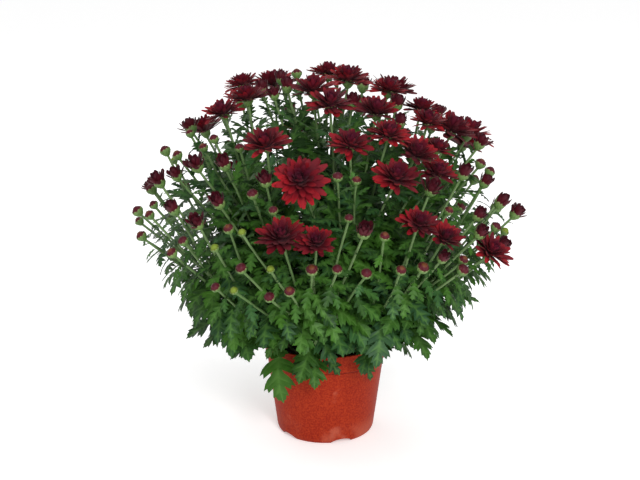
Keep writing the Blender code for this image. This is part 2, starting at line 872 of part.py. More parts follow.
def keep_main_body(target: bpy.types.Object) -> None:
    """Drops loose scraps and sealed hollows, leaving the body with the most faces."""
    work = bmesh.new()
    work.from_mesh(target.data)
    unseen = set(work.faces)
    bodies = []
    while unseen:
        front = [unseen.pop()]
        body = list(front)
        while front:
            face = front.pop()
            for edge in face.edges:
                for near in edge.link_faces:
                    if near in unseen:
                        unseen.remove(near)
                        front.append(near)
                        body.append(near)
        bodies.append(body)
    bodies.sort(key=len)
    for body in bodies[:-1]:
        bmesh.ops.delete(work, geom=body, context="FACES")
    loose = [v for v in work.verts if not v.link_faces]
    bmesh.ops.delete(work, geom=loose, context="VERTS")
    work.to_mesh(target.data)
    work.free()


def build_pot(material: bpy.types.Material) -> None:
    """Tapered pot with a rim band, arched notches through its foot and a drain hole by each."""
    inner_rim = RIM_RADIUS - WALL - INSIDE_STEP
    profile = [
        (0.0, FLOOR_BOTTOM),
        (FOOT_INNER_RADIUS - FOOT_SLOPE, FLOOR_BOTTOM),
        (FOOT_INNER_RADIUS, 0.0),
        (FOOT_RADIUS, 0.0),
        (FOOT_BEVEL_RADIUS, FOOT_BEVEL_HEIGHT),
        (BODY_FOOT_RADIUS, BODY_FOOT_HEIGHT),
        (RIM_RADIUS - RIM_BAND_STEP, RIM_BAND_BOTTOM),
        (RIM_RADIUS, RIM_BAND_BOTTOM + BAND_LIP),
        (RIM_RADIUS, RIM_HEIGHT),
        (inner_rim, RIM_HEIGHT),
        (inner_rim, RIM_BAND_BOTTOM + 2 * INSIDE_STEP),
        (inner_rim - RIM_BAND_STEP, RIM_BAND_BOTTOM - INSIDE_STEP),
        (BODY_FOOT_RADIUS - WALL - INSIDE_TAPER, BODY_FOOT_HEIGHT + INSIDE_STEP),
        (FOOT_BEVEL_RADIUS - WALL - INSIDE_STEP, FLOOR_BOTTOM + WALL),
        (0.0, FLOOR_BOTTOM + WALL),
    ]
    pot = add_object("pot", ring_shape(profile, POT_SIDES, Matrix.Identity(4)))
    cutters = []
    for i in range(NOTCH_COUNT):
        turn = Matrix.Rotation(math.radians(NOTCH_FIRST + i * 360 / NOTCH_COUNT), 4, "Z")
        arch = turn @ Matrix.Translation((0, -FOOT_INNER_RADIUS, 0)) @ Matrix.Rotation(math.pi / 2, 4, "X")
        arch = arch @ Matrix.Diagonal((NOTCH_HALF_WIDTH, NOTCH_HEIGHT, 1, 1))
        cutters.append(ring_shape([(1, -2 * CUTTER_OVERRUN), (1, NOTCH_DEPTH)], NOTCH_SIDES, arch))
        hole = turn @ Matrix.Translation((0, -DRAIN_HOLE_AT, 0))
        low, high = FLOOR_BOTTOM - CUTTER_OVERRUN, FLOOR_BOTTOM + WALL + CUTTER_OVERRUN
        ends = [(DRAIN_HOLE_RADIUS, low), (DRAIN_HOLE_RADIUS, high)]
        cutters.append(ring_shape(ends, DRAIN_HOLE_SIDES, hole))
    combine(pot, cutters, "DIFFERENCE")
    pot.data.materials.append(material)


def build_soil(plan: Plan, material: bpy.types.Material) -> None:
    """Soil that fills the pot, with a plain hole for each main stem."""
    foot = FOOT_BEVEL_RADIUS - WALL - INSIDE_STEP
    low = BODY_FOOT_RADIUS - WALL - INSIDE_TAPER
    high = RIM_RADIUS - WALL - INSIDE_STEP - RIM_BAND_STEP
    inset = SEAT_GAP / math.cos(math.pi / POT_SIDES)
    floor = FLOOR_BOTTOM + WALL
    profile = [
        (0.0, floor + SEAT_GAP),
        (foot - inset - SEAT_GAP, floor + SEAT_GAP),
        (low - inset, BODY_FOOT_HEIGHT + INSIDE_STEP),
        (high - inset, RIM_BAND_BOTTOM - INSIDE_STEP),
        (high - inset, SOIL_TOP - MM),
        (high * SOIL_SHOULDER, SOIL_TOP + SOIL_MOUND / 2),
        (0.0, SOIL_TOP + SOIL_MOUND),
    ]
    soil = add_object("soil", ring_shape(profile, POT_SIDES, Matrix.Identity(4)))
    cutters = []
    for stem, axis in zip(plan.stems, plan.axes):
        bottom = stem[0] - axis * SEAT_GAP
        top = stem[0] + axis * (STEM_DEPTH + 2 * SOIL_MOUND) / axis.z * HOLE_OVERRUN
        wide = STEM_RADIUS + SEAT_GAP / math.cos(math.pi / STEM_SIDES)
        cutters.append(tube_shape([bottom, top], [wide, wide], STEM_SIDES))
    combine(soil, cutters, "DIFFERENCE")
    soil.data.materials.append(material)


def stalk_shape(head: Head) -> Shape:
    """Stalk with what is green at its end, as one closed shape: an empty cup, a half-open head or a bud.

    Args:
        head: what the stalk carries.

    Returns:
        Points and faces.
    """
    points: list[Vector] = []
    side = head.matrix.to_3x3() @ Vector((1, 0, 0))
    for i, spot in enumerate(head.stalk):
        if i + 1 < len(head.stalk):
            ahead = (head.stalk[i + 1] - head.stalk[max(i - 1, 0)]).normalized()
        else:
            ahead = head.axis
        flat = (side - ahead * side.dot(ahead)).normalized()
        for j in range(STALK_SIDES):
            turn = math.tau * j / STALK_SIDES
            points.append(spot + (flat * math.cos(turn) + ahead.cross(flat) * math.sin(turn)) * STALK_RADIUS)
    neck = len(points) - STALK_SIDES
    faces: list[tuple[int, ...]] = [(2, 1, 0)]
    for i in range(0, neck, 3):
        for j in range(3):
            a, b = i + j, i + (j + 1) % 3
            faces += [(a, b, b + 3), (a, b + 3, a + 3)]
    r = CUP_RADIUS * head.scale if head.kind is not Kind.BUD else head.radius
    points += hexagon(head, r, r, -SEAT_GAP, -SEAT_GAP)
    for j in range(3):
        n, m = neck + j, neck + (j + 1) % 3
        c = neck + 3 + 2 * j
        before = neck + 3 + (2 * j + 5) % 6
        faces += [(n, m, c + 1), (n, c + 1, c), (n, c, before)]
    rim = list(range(neck + 3, neck + 9))
    if head.kind is Kind.HALF_OPEN:
        tip, gap = ([size * head.radius for size in sizes] for sizes in (HALF_OPEN_TIPS, HALF_OPEN_GAPS))
        points += hexagon(head, tip[0], gap[0], tip[1], gap[1])
        crown = list(range(neck + 9, neck + 15))
        for j in range(6):
            k = (j + 1) % 6
            faces += [(rim[j], rim[k], crown[k]), (rim[j], crown[k], crown[j])]
        rim = crown
    if head.kind is Kind.BLOOM:
        faces.append(tuple(rim))
    else:
        middle = head.radius * (HALF_OPEN_MIDDLE if head.kind is Kind.HALF_OPEN else BUD_TOP)
        points.append(head.matrix @ Vector((0, 0, middle)))
        faces += [(rim[j], rim[(j + 1) % 6], len(points) - 1) for j in range(6)]
    return points, faces


def hexagon(head: Head, wide: float, narrow: float, high: float, low: float) -> list[Vector]:
    """Six points round a head, alternately of one radius and height and of another."""
    ring = []
    for j in range(6):
        turn = math.tau * j / 6
        r, z = (wide, high) if j % 2 == 0 else (narrow, low)
        ring.append(head.matrix @ Vector((math.cos(turn) * r, math.sin(turn) * r, z)))
    return ring


def build_spray(plan: Plan, number: int, material: bpy.types.Material) -> None:
    """Main stem, stalks, leaves, cups, half-open heads and buds of one spray, as one body."""
    path = plan.stems[number]
    radii = [STEM_RADIUS, STEM_RADIUS, STEM_TOP_RADIUS]
    stem_path = [path[0], path[1], path[-1]]
    spray = add_object(f"spray_{number + 1:02d}", tube_shape(stem_path, radii, STEM_SIDES))
    shapes: list[Shape] = []
    for head in plan.heads:
        if head.spray == number and in_coarse_form(head):
            shapes.append(stalk_shape(head))
    shapes += [leaf_shape(leaf, LEAF_THICKNESS) for leaf in plan.leaves if leaf.spray == number]
    combine(spray, shapes, "UNION")
    spray.data.materials.append(material)


def petal_shape(length: float, width: float, rise: float, turn: float, root: float, place: Matrix) -> Shape:
    """Kite-shaped petal whose tip drops from its shoulders, split across them on both faces.

    Args:
        length: from the head's axis to the tip.
        width: at the shoulder.
        rise: degrees above level.
        turn: degrees round the head.
        root: height of the root on the head's axis.
        place: placement of the head.

    Returns:
        Points and faces.
    """
    lift = Matrix.Rotation(math.radians(turn), 4, "Z") @ Matrix.Translation((0, 0, root))
    lift = place @ lift @ Matrix.Rotation(-math.radians(rise), 4, "Y")
    shoulder = length * PETAL_SHOULDER
    outline = [
        Vector((MM, 0, 0)),
        Vector((shoulder, -width / 2, 0)),
        Vector((length, 0, -PETAL_TIP_DROP)),
        Vector((shoulder, width / 2, 0)),
    ]
    half = Vector((0, 0, PETAL_THICKNESS / 2))
    points = [lift @ (p + half) for p in outline] + [lift @ (p - half) for p in outline]
    faces: list[tuple[int, ...]] = [(0, 1, 3), (1, 2, 3), (7, 5, 4), (7, 6, 5)]
    faces += [(a, a + 4, b + 4, b) for a, b in ((0, 1), (1, 2), (2, 3), (3, 0))]
    return points, faces


def build_bloom(head: Head, number: int, material: bpy.types.Material) -> None:
    """One open bloom: a low core with a spread whorl of petals and a raised one inside it."""
    size = head.scale
    outer = LARGE_BLOOM_PETALS if head.radius > LARGE_BLOOM else PETALS
    inner = outer - 2
    half_step = Matrix.Rotation(math.pi / outer, 4, "Z")
    core = [(CORE_RADIUS * size, 0.0), (CORE_RADIUS * size * CORE_TOP_SHARE, CORE_HEIGHT)]
    bloom = add_object(f"bloom_{number:02d}", ring_shape(core, outer, head.matrix @ half_step))
    width = head.radius * PETAL_WIDTH_SHARE / outer
    shapes = []
    for i in range(outer):
        turn = 360 * i / outer
        rise = OUTER_PETAL_RISE - RISE_STEP * (i % 2)
        shapes.append(petal_shape(head.radius, width, rise, turn, OUTER_ROOT, head.matrix))
    for i in range(inner):
        turn = 360 * (i + 0.5) / inner
        length = head.radius * INNER_PETAL_SHARE
        shapes.append(petal_shape(length, width, INNER_PETAL_RISE, turn, INNER_ROOT, head.matrix))
    combine(bloom, shapes, "UNION")
    bloom.data.materials.append(material)


def main() -> None:
    """Builds every node."""
    for old in list(bpy.data.objects):
        bpy.data.objects.remove(old)
    plan = Plan()
    build_pot(paint("pot_plastic", (0.62, 0.12, 0.05), 0.45))
    build_soil(plan, paint("soil", (0.05, 0.03, 0.02), 0.95))
    green = paint("green", (0.07, 0.20, 0.05), 0.55)
    crimson = paint("petal", (0.35, 0.01, 0.03), 0.60)
    for number in range(len(plan.stems)):
        build_spray(plan, number, green)
    blooms = [head for head in plan.heads if head.kind is Kind.BLOOM]
    for number, head in enumerate(blooms):
        build_bloom(head, number + 1, crimson)


main()
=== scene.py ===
"""Looks of the pot chrysanthemum: fine petals, leaves, stalks, buds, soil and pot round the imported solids.

Metres, +Z up, origin at the middle of the pot's foot, front towards -Y. The first half lays the plant out
exactly as its solids are laid out, so that every fine piece lands on the solid that it stands for. The
second half models each shape once, copies it to its places and dresses it.
"""

import logging
import math
import random
from dataclasses import dataclass, field
from enum import Enum
from typing import Callable

import bmesh
import bpy
import numpy as np
from mathutils import Matrix, Vector
from mathutils.bvhtree import BVHTree

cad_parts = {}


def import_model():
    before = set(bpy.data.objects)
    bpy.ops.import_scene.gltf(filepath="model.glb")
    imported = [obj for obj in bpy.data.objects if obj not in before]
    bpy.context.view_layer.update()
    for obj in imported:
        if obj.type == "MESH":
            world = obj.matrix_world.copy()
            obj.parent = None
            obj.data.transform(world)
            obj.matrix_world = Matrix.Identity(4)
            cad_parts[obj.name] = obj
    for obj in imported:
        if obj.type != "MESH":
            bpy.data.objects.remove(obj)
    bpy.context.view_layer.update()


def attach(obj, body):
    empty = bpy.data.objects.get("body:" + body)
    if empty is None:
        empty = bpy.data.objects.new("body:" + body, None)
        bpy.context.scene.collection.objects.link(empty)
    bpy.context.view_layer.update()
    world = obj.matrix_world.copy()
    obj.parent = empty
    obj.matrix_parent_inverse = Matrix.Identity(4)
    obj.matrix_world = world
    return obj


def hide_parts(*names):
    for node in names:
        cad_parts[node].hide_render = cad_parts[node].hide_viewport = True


MM = 0.001

# Pot
RIM_RADIUS = 0.0700
RIM_HEIGHT = 0.1120
RIM_BAND_BOTTOM = 0.0920
RIM_BAND_STEP = 0.0020
BODY_FOOT_RADIUS = 0.0573
BODY_FOOT_HEIGHT = 0.0110
FOOT_BEVEL_RADIUS = 0.0548
FOOT_RADIUS = 0.0520
FOOT_INNER_RADIUS = 0.0470
WALL = 0.0014
FLOOR_BOTTOM = 0.0070
POT_SIDES = 28
NOTCH_COUNT = 5
NOTCH_FIRST = 20.0
NOTCH_HALF_WIDTH = 0.0125
NOTCH_HEIGHT = 0.0055
DRAIN_HOLE_RADIUS = 0.0040
DRAIN_HOLE_AT = 0.0400
FOOT_SLOPE = 0.0020
INSIDE_STEP = 0.0010
INSIDE_TAPER = 0.0004
CUTTER_OVERRUN = 0.0020
NOTCH_DEPTH = 0.0140

# Soil
SOIL_TOP = 0.0990
SOIL_MOUND = 0.0030
SEAT_GAP = 0.0003
STEM_DEPTH = 0.0140

# Crown and dome of flower heads
CROWN = Vector((0.0, 0.0, 0.060))
DOME_CENTRE_HEIGHT = 0.220
DOME_RADIUS = 0.217
DOME_RISE = 0.197

# Stems and stalks
STEM_RADIUS = 0.0022
STEM_TOP_RADIUS = 0.0015
STEM_SIDES = 5
STEM_SHARE = 0.62
STALK_RADIUS = 0.0011
STALK_SIDES = 3
STALK_LOWEST = 0.16
STALK_SHARES = (0.5, 0.25, 0.04, 0.8)
STALK_FIRST_SHARE = 0.9
STALK_LEAST_SHARE = 0.04
STALK_SPREAD = 20.0
STEM_MARGIN = 0.0010
STALK_MARGIN = 0.0008

# Sprays: direction and lean of each main stem
OUTER_SPRAYS = 8
OUTER_FIRST = -8.0
OUTER_LEAN = 46.0
MIDDLE_SPRAYS = 5
MIDDLE_FIRST = 20.0
MIDDLE_LEAN = 25.0

# Open blooms: direction, lean, radius in mm, height above the dome in mm, extra tilt outwards
BLOOMS = (
    (-115, 17, 23, 5, 0), (-66, 20, 19, 2, 4), (-76, 15, 21, -4, 0), (90, 4, 27, -3, 0), (-16, 8, 22, -2, 4),
    (4, 14, 22, 2, 4), (114, 13, 24, -10, 0), (34, 16, 20, -4, 2), (100, 19, 24, -13, 0), (57, 22, 18, 2, 0),
    (80, 25, 22, -8, 0), (101, 30, 22, -4, 0), (28, 23, 24, 0, 2), (12, 23, 17, -6, 0), (38, 27, 20, 0, 8),
    (25, 31, 22, -3, 4), (44, 31, 17, -4, 0), (-27, 24, 18, -4, 4), (-9, 31, 29, 0, 30), (-13, 41, 22, -4, 0),
    (-3, 42, 15, 0, 4), (28, 40, 18, 0, 2), (36, 43, 17, 0, 4), (54, 48, 17, 0, 6), (50, 27, 13, -2, 0),
    (178, 12, 24, 0, 0), (142, 22, 22, 0, 0), (-150, 20, 22, 0, 0), (165, 30, 25, 0, 8), (122, 37, 20, 0, 0),
    (-172, 38, 21, 0, 4), (-128, 34, 20, 0, 0), (140, 45, 17, 0, 0), (-150, 46, 18, 0, 4),
)

# Half-open heads: direction and lean
HALF_OPEN = (
    (-116, 9), (-58, 8), (-102, 12), (-49, 12), (-64, 34), (-54, 31), (-73, 37), (-42, 29), (-53, 40),
    (-41, 41), (-37, 36), (55, 33), (69, 36), (37, 34), (68, 41), (84, 46), (52, 41), (50, 44), (64, 48),
    (35, 46), (11, 40), (-21, 31), (24, 13), (38, 19), (51, 16), (85, 31),
    (160, 22), (-165, 30), (-140, 27), (-110, 30), (118, 26), (150, 38), (-158, 52), (112, 50), (-105, 44),
    (178, 48), (-128, 48), (130, 52),
)

# Buds: direction and lean
BUDS = (
    (-88, 50), (-76, 48), (-82, 45), (-66, 43), (-74, 41), (-48, 44), (-34, 44), (-31, 40), (-25, 41),
    (-16, 37), (-4, 46), (3, 46), (11, 47), (21, 47), (28, 47), (17, 41), (7, 37), (42, 49), (44, 47),
    (-32, 51), (-26, 51), (-16, 51), (-10, 50), (-51, 47), (-24, 47), (-16, 46), (-139, 8), (-85, 27),
    (-77, 31), (-61, 27), (-57, 25), (-40, 25), (-26, 33), (4, 30), (11, 30), (78, 33), (69, 46), (65, 44),
    (42, 38), (51, 39),
    (98, 38), (104, 46), (120, 44), (132, 32), (146, 52), (155, 46), (168, 52), (170, 40), (-176, 26),
    (-165, 45), (-158, 38), (-142, 38), (-138, 52), (-118, 52), (-117, 40), (-100, 35), (-98, 50), (-92, 41),
    (-120, 25), (158, 6),
)

# Head shapes
CUP_DEPTH = 0.0068
CUP_RADIUS = 0.0056
BLOOM_CUP_SIZE = 22.0
HALF_OPEN_RADIUS = 0.0088
BUD_RADIUS = 0.0058
CUP_SUNK = 0.8
SMALL_CUP_SHARE = 0.55
HALF_OPEN_SIZES = (0.88, 1.16)
HALF_OPEN_LEVELS = (-6, 4)
BUD_SIZES = (0.75, 1.15)
BUD_LEVELS = (-8, 4)
CORE_RADIUS = 0.0046
CORE_HEIGHT = 0.0046
LARGE_BLOOM = 0.0225

# How heads face, and how far apart they keep
BLOOM_FACING_SHARE = 0.66
BUD_FACING_SHARE = 0.82
PARTING_ROUNDS = 160
PARTING_REACH = 0.0040
LAYER_GAP = 0.0030
SIDE_SHARE = 0.96
BLOOM_LAYER = 0.0130
BUD_LAYER = 0.0200

# Free space kept round a head, as shares of its radius
BLOOM_EDGE_SHARE = 0.20
BLOOM_TOP_SHARE = 0.56
BLOOM_TOP_RADIUS = 0.6
BLOOM_MARGIN = 0.0020
HALF_OPEN_SPACE = (1.1, 1.5)
BUD_SPACE = 1.2
ENVELOPE_SIDES = 10

# Which half-open heads and buds have a solid
RIM_LEAN = 50
KEPT = 3
KEPT_OF = 8

# Leaves
LEAF_STATIONS = (0.40, 0.54, 0.72)
LEAF_HALF_WIDTHS = (0.45, 0.12, 0.36)
LEAF_RISES = (-0.06, 0.02, -0.04)
LEAF_LOBE_FROM = 0.20
LEAF_LOBE_AHEAD = 0.10
LEAF_WIDTH_SHARE = 0.72
LEAF_ENVELOPE = 0.0020
LEAF_LENGTH = 0.062
LEAF_TAPER = 0.018
LEAF_SIZES = (0.92, 1.1)
LEAF_SKY_PULL = 0.6
STALK_LEAF_LENGTH = 0.040
STALK_LEAF_SIZES = (0.85, 1.15)
STALK_LEAF_SHARES = (0.3, 0.55)
STALK_LEAF_FAN = 70
CLEAR_LEAF_TRIES = ((2, 1.0), (1, 1.0), (1, 0.85), (1, 0.7))
LEAF_TRIES = (*CLEAR_LEAF_TRIES, (0, 1.0), (0, 0.8), (0, 0.65))
OUTER_LEAF_SHARES = (0.26, 0.30, 0.36, 0.54, 0.74, 0.93)
OUTER_LEAF_FAN = (-60, 60, 0, -40, 40, 0)
MIDDLE_LEAF_SHARES = (0.40, 0.70, 0.97)
MIDDLE_LEAF_TURN = 50
LOW_HEAD_LEAN = 43
LOW_LEAF_EVERY = 2
HIGH_LEAF_EVERY = 4
LEAF_SWINGS = (0, 12, -12, 24, -24, 38, -38, 55, -55, 80, -80, 110, -110, 150, -150, 180)
LEAF_POSES = ((15, 40), (30, 45), (0, 45), (45, 40), (62, 30))
SKIRT_LEAF_POSES = ((20, 75), (35, 60), (5, 70), (50, 50), (62, 30))
GOLDEN_TURN = 137.5

# Seeds of what is drawn at random; the number of the spray or bloom is added to all but the first and last
SEED = 3
BLOOM_SEED = 1000
LEAF_SEED = 2000
CUP_SEED = 3000
BUD_SEED = 4000
CRUMB_SEED = 5

Piece = bpy.types.Object
Material = bpy.types.Material
Socket = bpy.types.NodeSocket
Shape = tuple[list[Vector], list[tuple[int, ...]]]
Pairs = tuple[tuple[float, float], ...]


class Kind(Enum):
    """What stands on the end of a stalk."""

    BLOOM = "bloom"
    HALF_OPEN = "half_open"
    BUD = "bud"


def direction(turn: float, lean: float) -> Vector:
    """Unit vector for a direction round the plant and a lean from straight up.

    Args:
        turn: degrees from the front, towards +X.
        lean: degrees from +Z.

    Returns:
        The unit vector.
    """
    round_z, from_up = math.radians(turn), math.radians(lean)
    out = math.sin(from_up)
    return Vector((out * math.sin(round_z), -out * math.cos(round_z), math.cos(from_up)))


def dome_point(turn: float, lean: float, level: float) -> Vector:
    """Point where a ray from the crown leaves the dome of flower heads.

    Args:
        turn: degrees from the front, towards +X.
        lean: degrees from +Z at the crown.
        level: metres further out along the ray.

    Returns:
        The point.
    """
    ray = direction(turn, lean)
    scale = Vector((1 / DOME_RADIUS, 1 / DOME_RADIUS, 1 / DOME_RISE))
    start = (CROWN - Vector((0, 0, DOME_CENTRE_HEIGHT))) * scale
    step = ray * scale
    a, b, c = step.dot(step), 2 * start.dot(step), start.dot(start) - 1
    return CROWN + ray * ((-b + math.sqrt(b * b - 4 * a * c)) / (2 * a) + level)


def lean_of(point: Vector) -> float:
    """Degrees between straight up and the ray from the crown to a point."""
    return math.degrees((point - CROWN).angle(Vector((0, 0, 1)), 0.0))


def turn_of(point: Vector) -> float:
    """Degrees round the plant of a point."""
    return math.degrees(math.atan2(point.x, -point.y))


def frame_of(along: Vector, facing: Vector) -> Matrix:
    """Rotation whose Y runs along one vector and whose Z is as near as it can be to another.

    Args:
        along: the direction of Y.
        facing: the wished direction of Z.

    Returns:
        A 3 x 3 rotation.
    """
    y = along.normalized()
    x = y.cross(facing)
    if x.length < 1e-6:
        x = y.cross(Vector((0.3, 0.2, 0.9)))
    x.normalize()
    return Matrix((x, y, x.cross(y))).transposed()


def bezier(a: Vector, b: Vector, c: Vector, d: Vector, steps: int) -> list[Vector]:
    """Points of a cubic Bezier curve, ends included.

    Args:
        a: where it starts.
        b: where it heads for from the start.
        c: where it comes from at the end.
        d: where it ends.
        steps: lengths between the points.

    Returns:
        The points.
    """
    points = []
    for i in range(steps + 1):
        t = i / steps
        s = 1 - t
        points.append(a * s**3 + b * 3 * s * s * t + c * 3 * s * t * t + d * t**3)
    return points


@dataclass
class Head:
    """One bloom, half-open head or bud, at the end of its stalk."""

    kind: Kind
    number: int
    radius: float
    seat: Vector
    axis: Vector
    nod: float = 0.0
    spray: int = 0
    stalk: list[Vector] = field(default_factory=list)

    @property
    def scale(self) -> float:
        """Size of the green cup against the plain one.

        Returns:
            The share.
        """
        if self.kind is Kind.BLOOM:
            return SMALL_CUP_SHARE + (1 - SMALL_CUP_SHARE) * self.radius / MM / BLOOM_CUP_SIZE
        return self.radius / (HALF_OPEN_RADIUS if self.kind is Kind.HALF_OPEN else BUD_RADIUS)

    @property
    def matrix(self) -> Matrix:
        """Place of the head: Z along its axis, origin where the petals sit on the cup.

        Returns:
            A 4 x 4 placement.
        """
        x = self.axis.cross(Vector((0, 1, 0))).normalized()
        turn = Matrix.Rotation(self.number * math.radians(GOLDEN_TURN), 4, "Z")
        basis = Matrix((x, self.axis.cross(x), self.axis)).transposed().to_4x4()
        return Matrix.Translation(self.seat) @ basis @ turn


@dataclass
class Leaf:
    """One lobed leaf: where it grows, which way it sets off, how it droops."""

    root: Vector
    along: Vector
    facing: Vector
    length: float
    width: float
    droop: float
    spray: int

    def frame(self, share: float) -> Matrix:
        """Place on the midrib at a share of the leaf's length, X across and Z on the upper side.

        Args:
            share: 0 at the root, 1 at the tip.

        Returns:
            A 4 x 4 placement.
        """
        start = frame_of(self.along, self.facing)
        total = math.radians(self.droop)
        bent = total * share
        chord = self.length * share
        if abs(bent) < 1e-6:
            offset = Vector((0, chord, 0))
        else:
            reach = chord / bent
            offset = Vector((0, reach * math.sin(bent), -reach * (1 - math.cos(bent))))
        turned = start.to_4x4() @ Matrix.Rotation(-bent, 4, "X")
        return Matrix.Translation(self.root + start @ offset) @ turned


class Obstacle:
    """A solid already placed, for telling whether the next one is clear of it."""

    def __init__(
        self,
        owner: str,
        points: list[Vector],
        faces: list[tuple[int, ...]],
        name: str = "",
        firm: bool = True,
    ) -> None:
        """Keeps the shape as a tree.

        Args:
            owner: the node it belongs to.
            points: corners.
            faces: indices of each face's corners.
            name: what it is, where a leaf grows on it.
            firm: whether the solids hold it, and not the fine form alone.
        """
        self.owner = owner
        self.name = name
        self.firm = firm
        self.centre = sum(points, Vector()) / len(points)
        self.reach = max((p - self.centre).length for p in points)
        self.tree = BVHTree.FromPolygons([tuple(p) for p in points], faces)

    def hits(self, other: "Obstacle") -> bool:
        """Whether two solids' surfaces cross."""
        near = (self.centre - other.centre).length <= self.reach + other.reach
        return near and bool(self.tree.overlap(other.tree))


def ring_shape(profile: list[tuple[float, float]], sides: int, place: Matrix) -> Shape:
    """Closed shape turned about Z from (radius, height) pairs, from bottom to top.

    Args:
        profile: radius and height of each ring; a radius of zero is a point.
        sides: corners of each ring.
        place: placement of the result.

    Returns:
        Points and faces.
    """
    points: list[Vector] = []
    rings: list[list[int]] = []
    for radius, height in profile:
        first = len(points)
        count = sides if radius > 0 else 1
        for i in range(count):
            turn = math.tau * i / sides
            points.append(place @ Vector((radius * math.cos(turn), radius * math.sin(turn), height)))
        rings.append(list(range(first, first + count)))
    faces: list[tuple[int, ...]] = []
    for low, high in zip(rings, rings[1:]):
        for i in range(sides):
            j = (i + 1) % sides
            if len(low) == 1:
                faces.append((low[0], high[j], high[i]))
            elif len(high) == 1:
                faces.append((low[i], low[j], high[0]))
            else:
                faces.append((low[i], low[j], high[j], high[i]))
    if len(rings[0]) > 1:
        faces.append(tuple(reversed(rings[0])))
    if len(rings[-1]) > 1:
        faces.append(tuple(rings[-1]))
    return points, faces


def tube_shape(path: list[Vector], radii: list[float], sides: int) -> Shape:
    """Closed tube along a path.

    Args:
        path: centre of each ring.
        radii: radius of each ring.
        sides: corners of each ring.

    Returns:
        Points and faces.
    """
    points: list[Vector] = []
    for i, (centre, radius) in enumerate(zip(path, radii)):
        ahead = (path[min(i + 1, len(path) - 1)] - path[max(i - 1, 0)]).normalized()
        side = ahead.cross(Vector((0, 1, 0))).normalized()
        other = ahead.cross(side)
        for j in range(sides):
            turn = math.tau * j / sides
            points.append(centre + (side * math.cos(turn) + other * math.sin(turn)) * radius)
    faces: list[tuple[int, ...]] = []
    for i in range(len(path) - 1):
        for j in range(sides):
            a, b = i * sides + j, i * sides + (j + 1) % sides
            faces.append((a, b, b + sides, a + sides))
    faces.append(tuple(reversed(range(sides))))
    faces.append(tuple(range(len(points) - sides, len(points))))
    return points, faces


def leaf_shape(leaf: Leaf, thickness: float) -> Shape:
    """Lobed blade of a leaf as a closed shape, split into triangles alike on both faces.

    Args:
        leaf: where the leaf is and how big.
        thickness: of the blade.

    Returns:
        Points and faces.
    """
    outline: list[Vector] = []
    rows = [(0.0, 0.0, 0.0)]
    rows += list(zip(LEAF_STATIONS, LEAF_HALF_WIDTHS, LEAF_RISES))
    rows += [(1.0, 0.0, 0.0)]
    levels: list[list[int]] = []
    normals: list[Vector] = []
    for share, half, rise in rows:
        place = leaf.frame(share)
        ahead = LEAF_LOBE_AHEAD if half > LEAF_LOBE_FROM else 0.0
        row = []
        for side in ((-1, 1) if half > 0 else (0,)):
            row.append(len(outline))
            spot = Vector((side * half * leaf.width, ahead * leaf.width, rise * leaf.width))
            outline.append(place @ spot)
            normals.append((place.to_3x3() @ Vector((0, 0, 1))).normalized())
        levels.append(row)
    count = len(outline)
    points = [p + n * thickness / 2 for p, n in zip(outline, normals)]
    points += [p - n * thickness / 2 for p, n in zip(outline, normals)]
    faces: list[tuple[int, ...]] = []
    for low, high in zip(levels, levels[1:]):
        if len(low) == 1:
            top = [(low[0], high[1], high[0])]
        elif len(high) == 1:
            top = [(low[0], low[1], high[0])]
        else:
            top = [(low[0], low[1], high[1]), (low[0], high[1], high[0])]
        faces += top
        faces += [tuple(i + count for i in reversed(face)) for face in top]
    left = [row[0] for row in levels]
    right = [row[-1] for row in levels]
    border = right + list(reversed(left))[1:-1]
    for a, b in zip(border, border[1:] + border[:1]):
        faces.append((a, a + count, b))
        faces.append((b, a + count, b + count))
    return points, faces


def in_coarse_form(head: Head) -> bool:
    """Whether a head is kept: every open bloom, the outermost others, and three in eight of the rest."""
    return head.kind is Kind.BLOOM or lean_of(head.seat) > RIM_LEAN or head.number % KEPT_OF < KEPT


def buried(point: Vector) -> bool:
    """Whether a point lies in the pot or its soil."""
    return point.z < SOIL_TOP + SOIL_MOUND and point.xy.length < RIM_RADIUS + MM


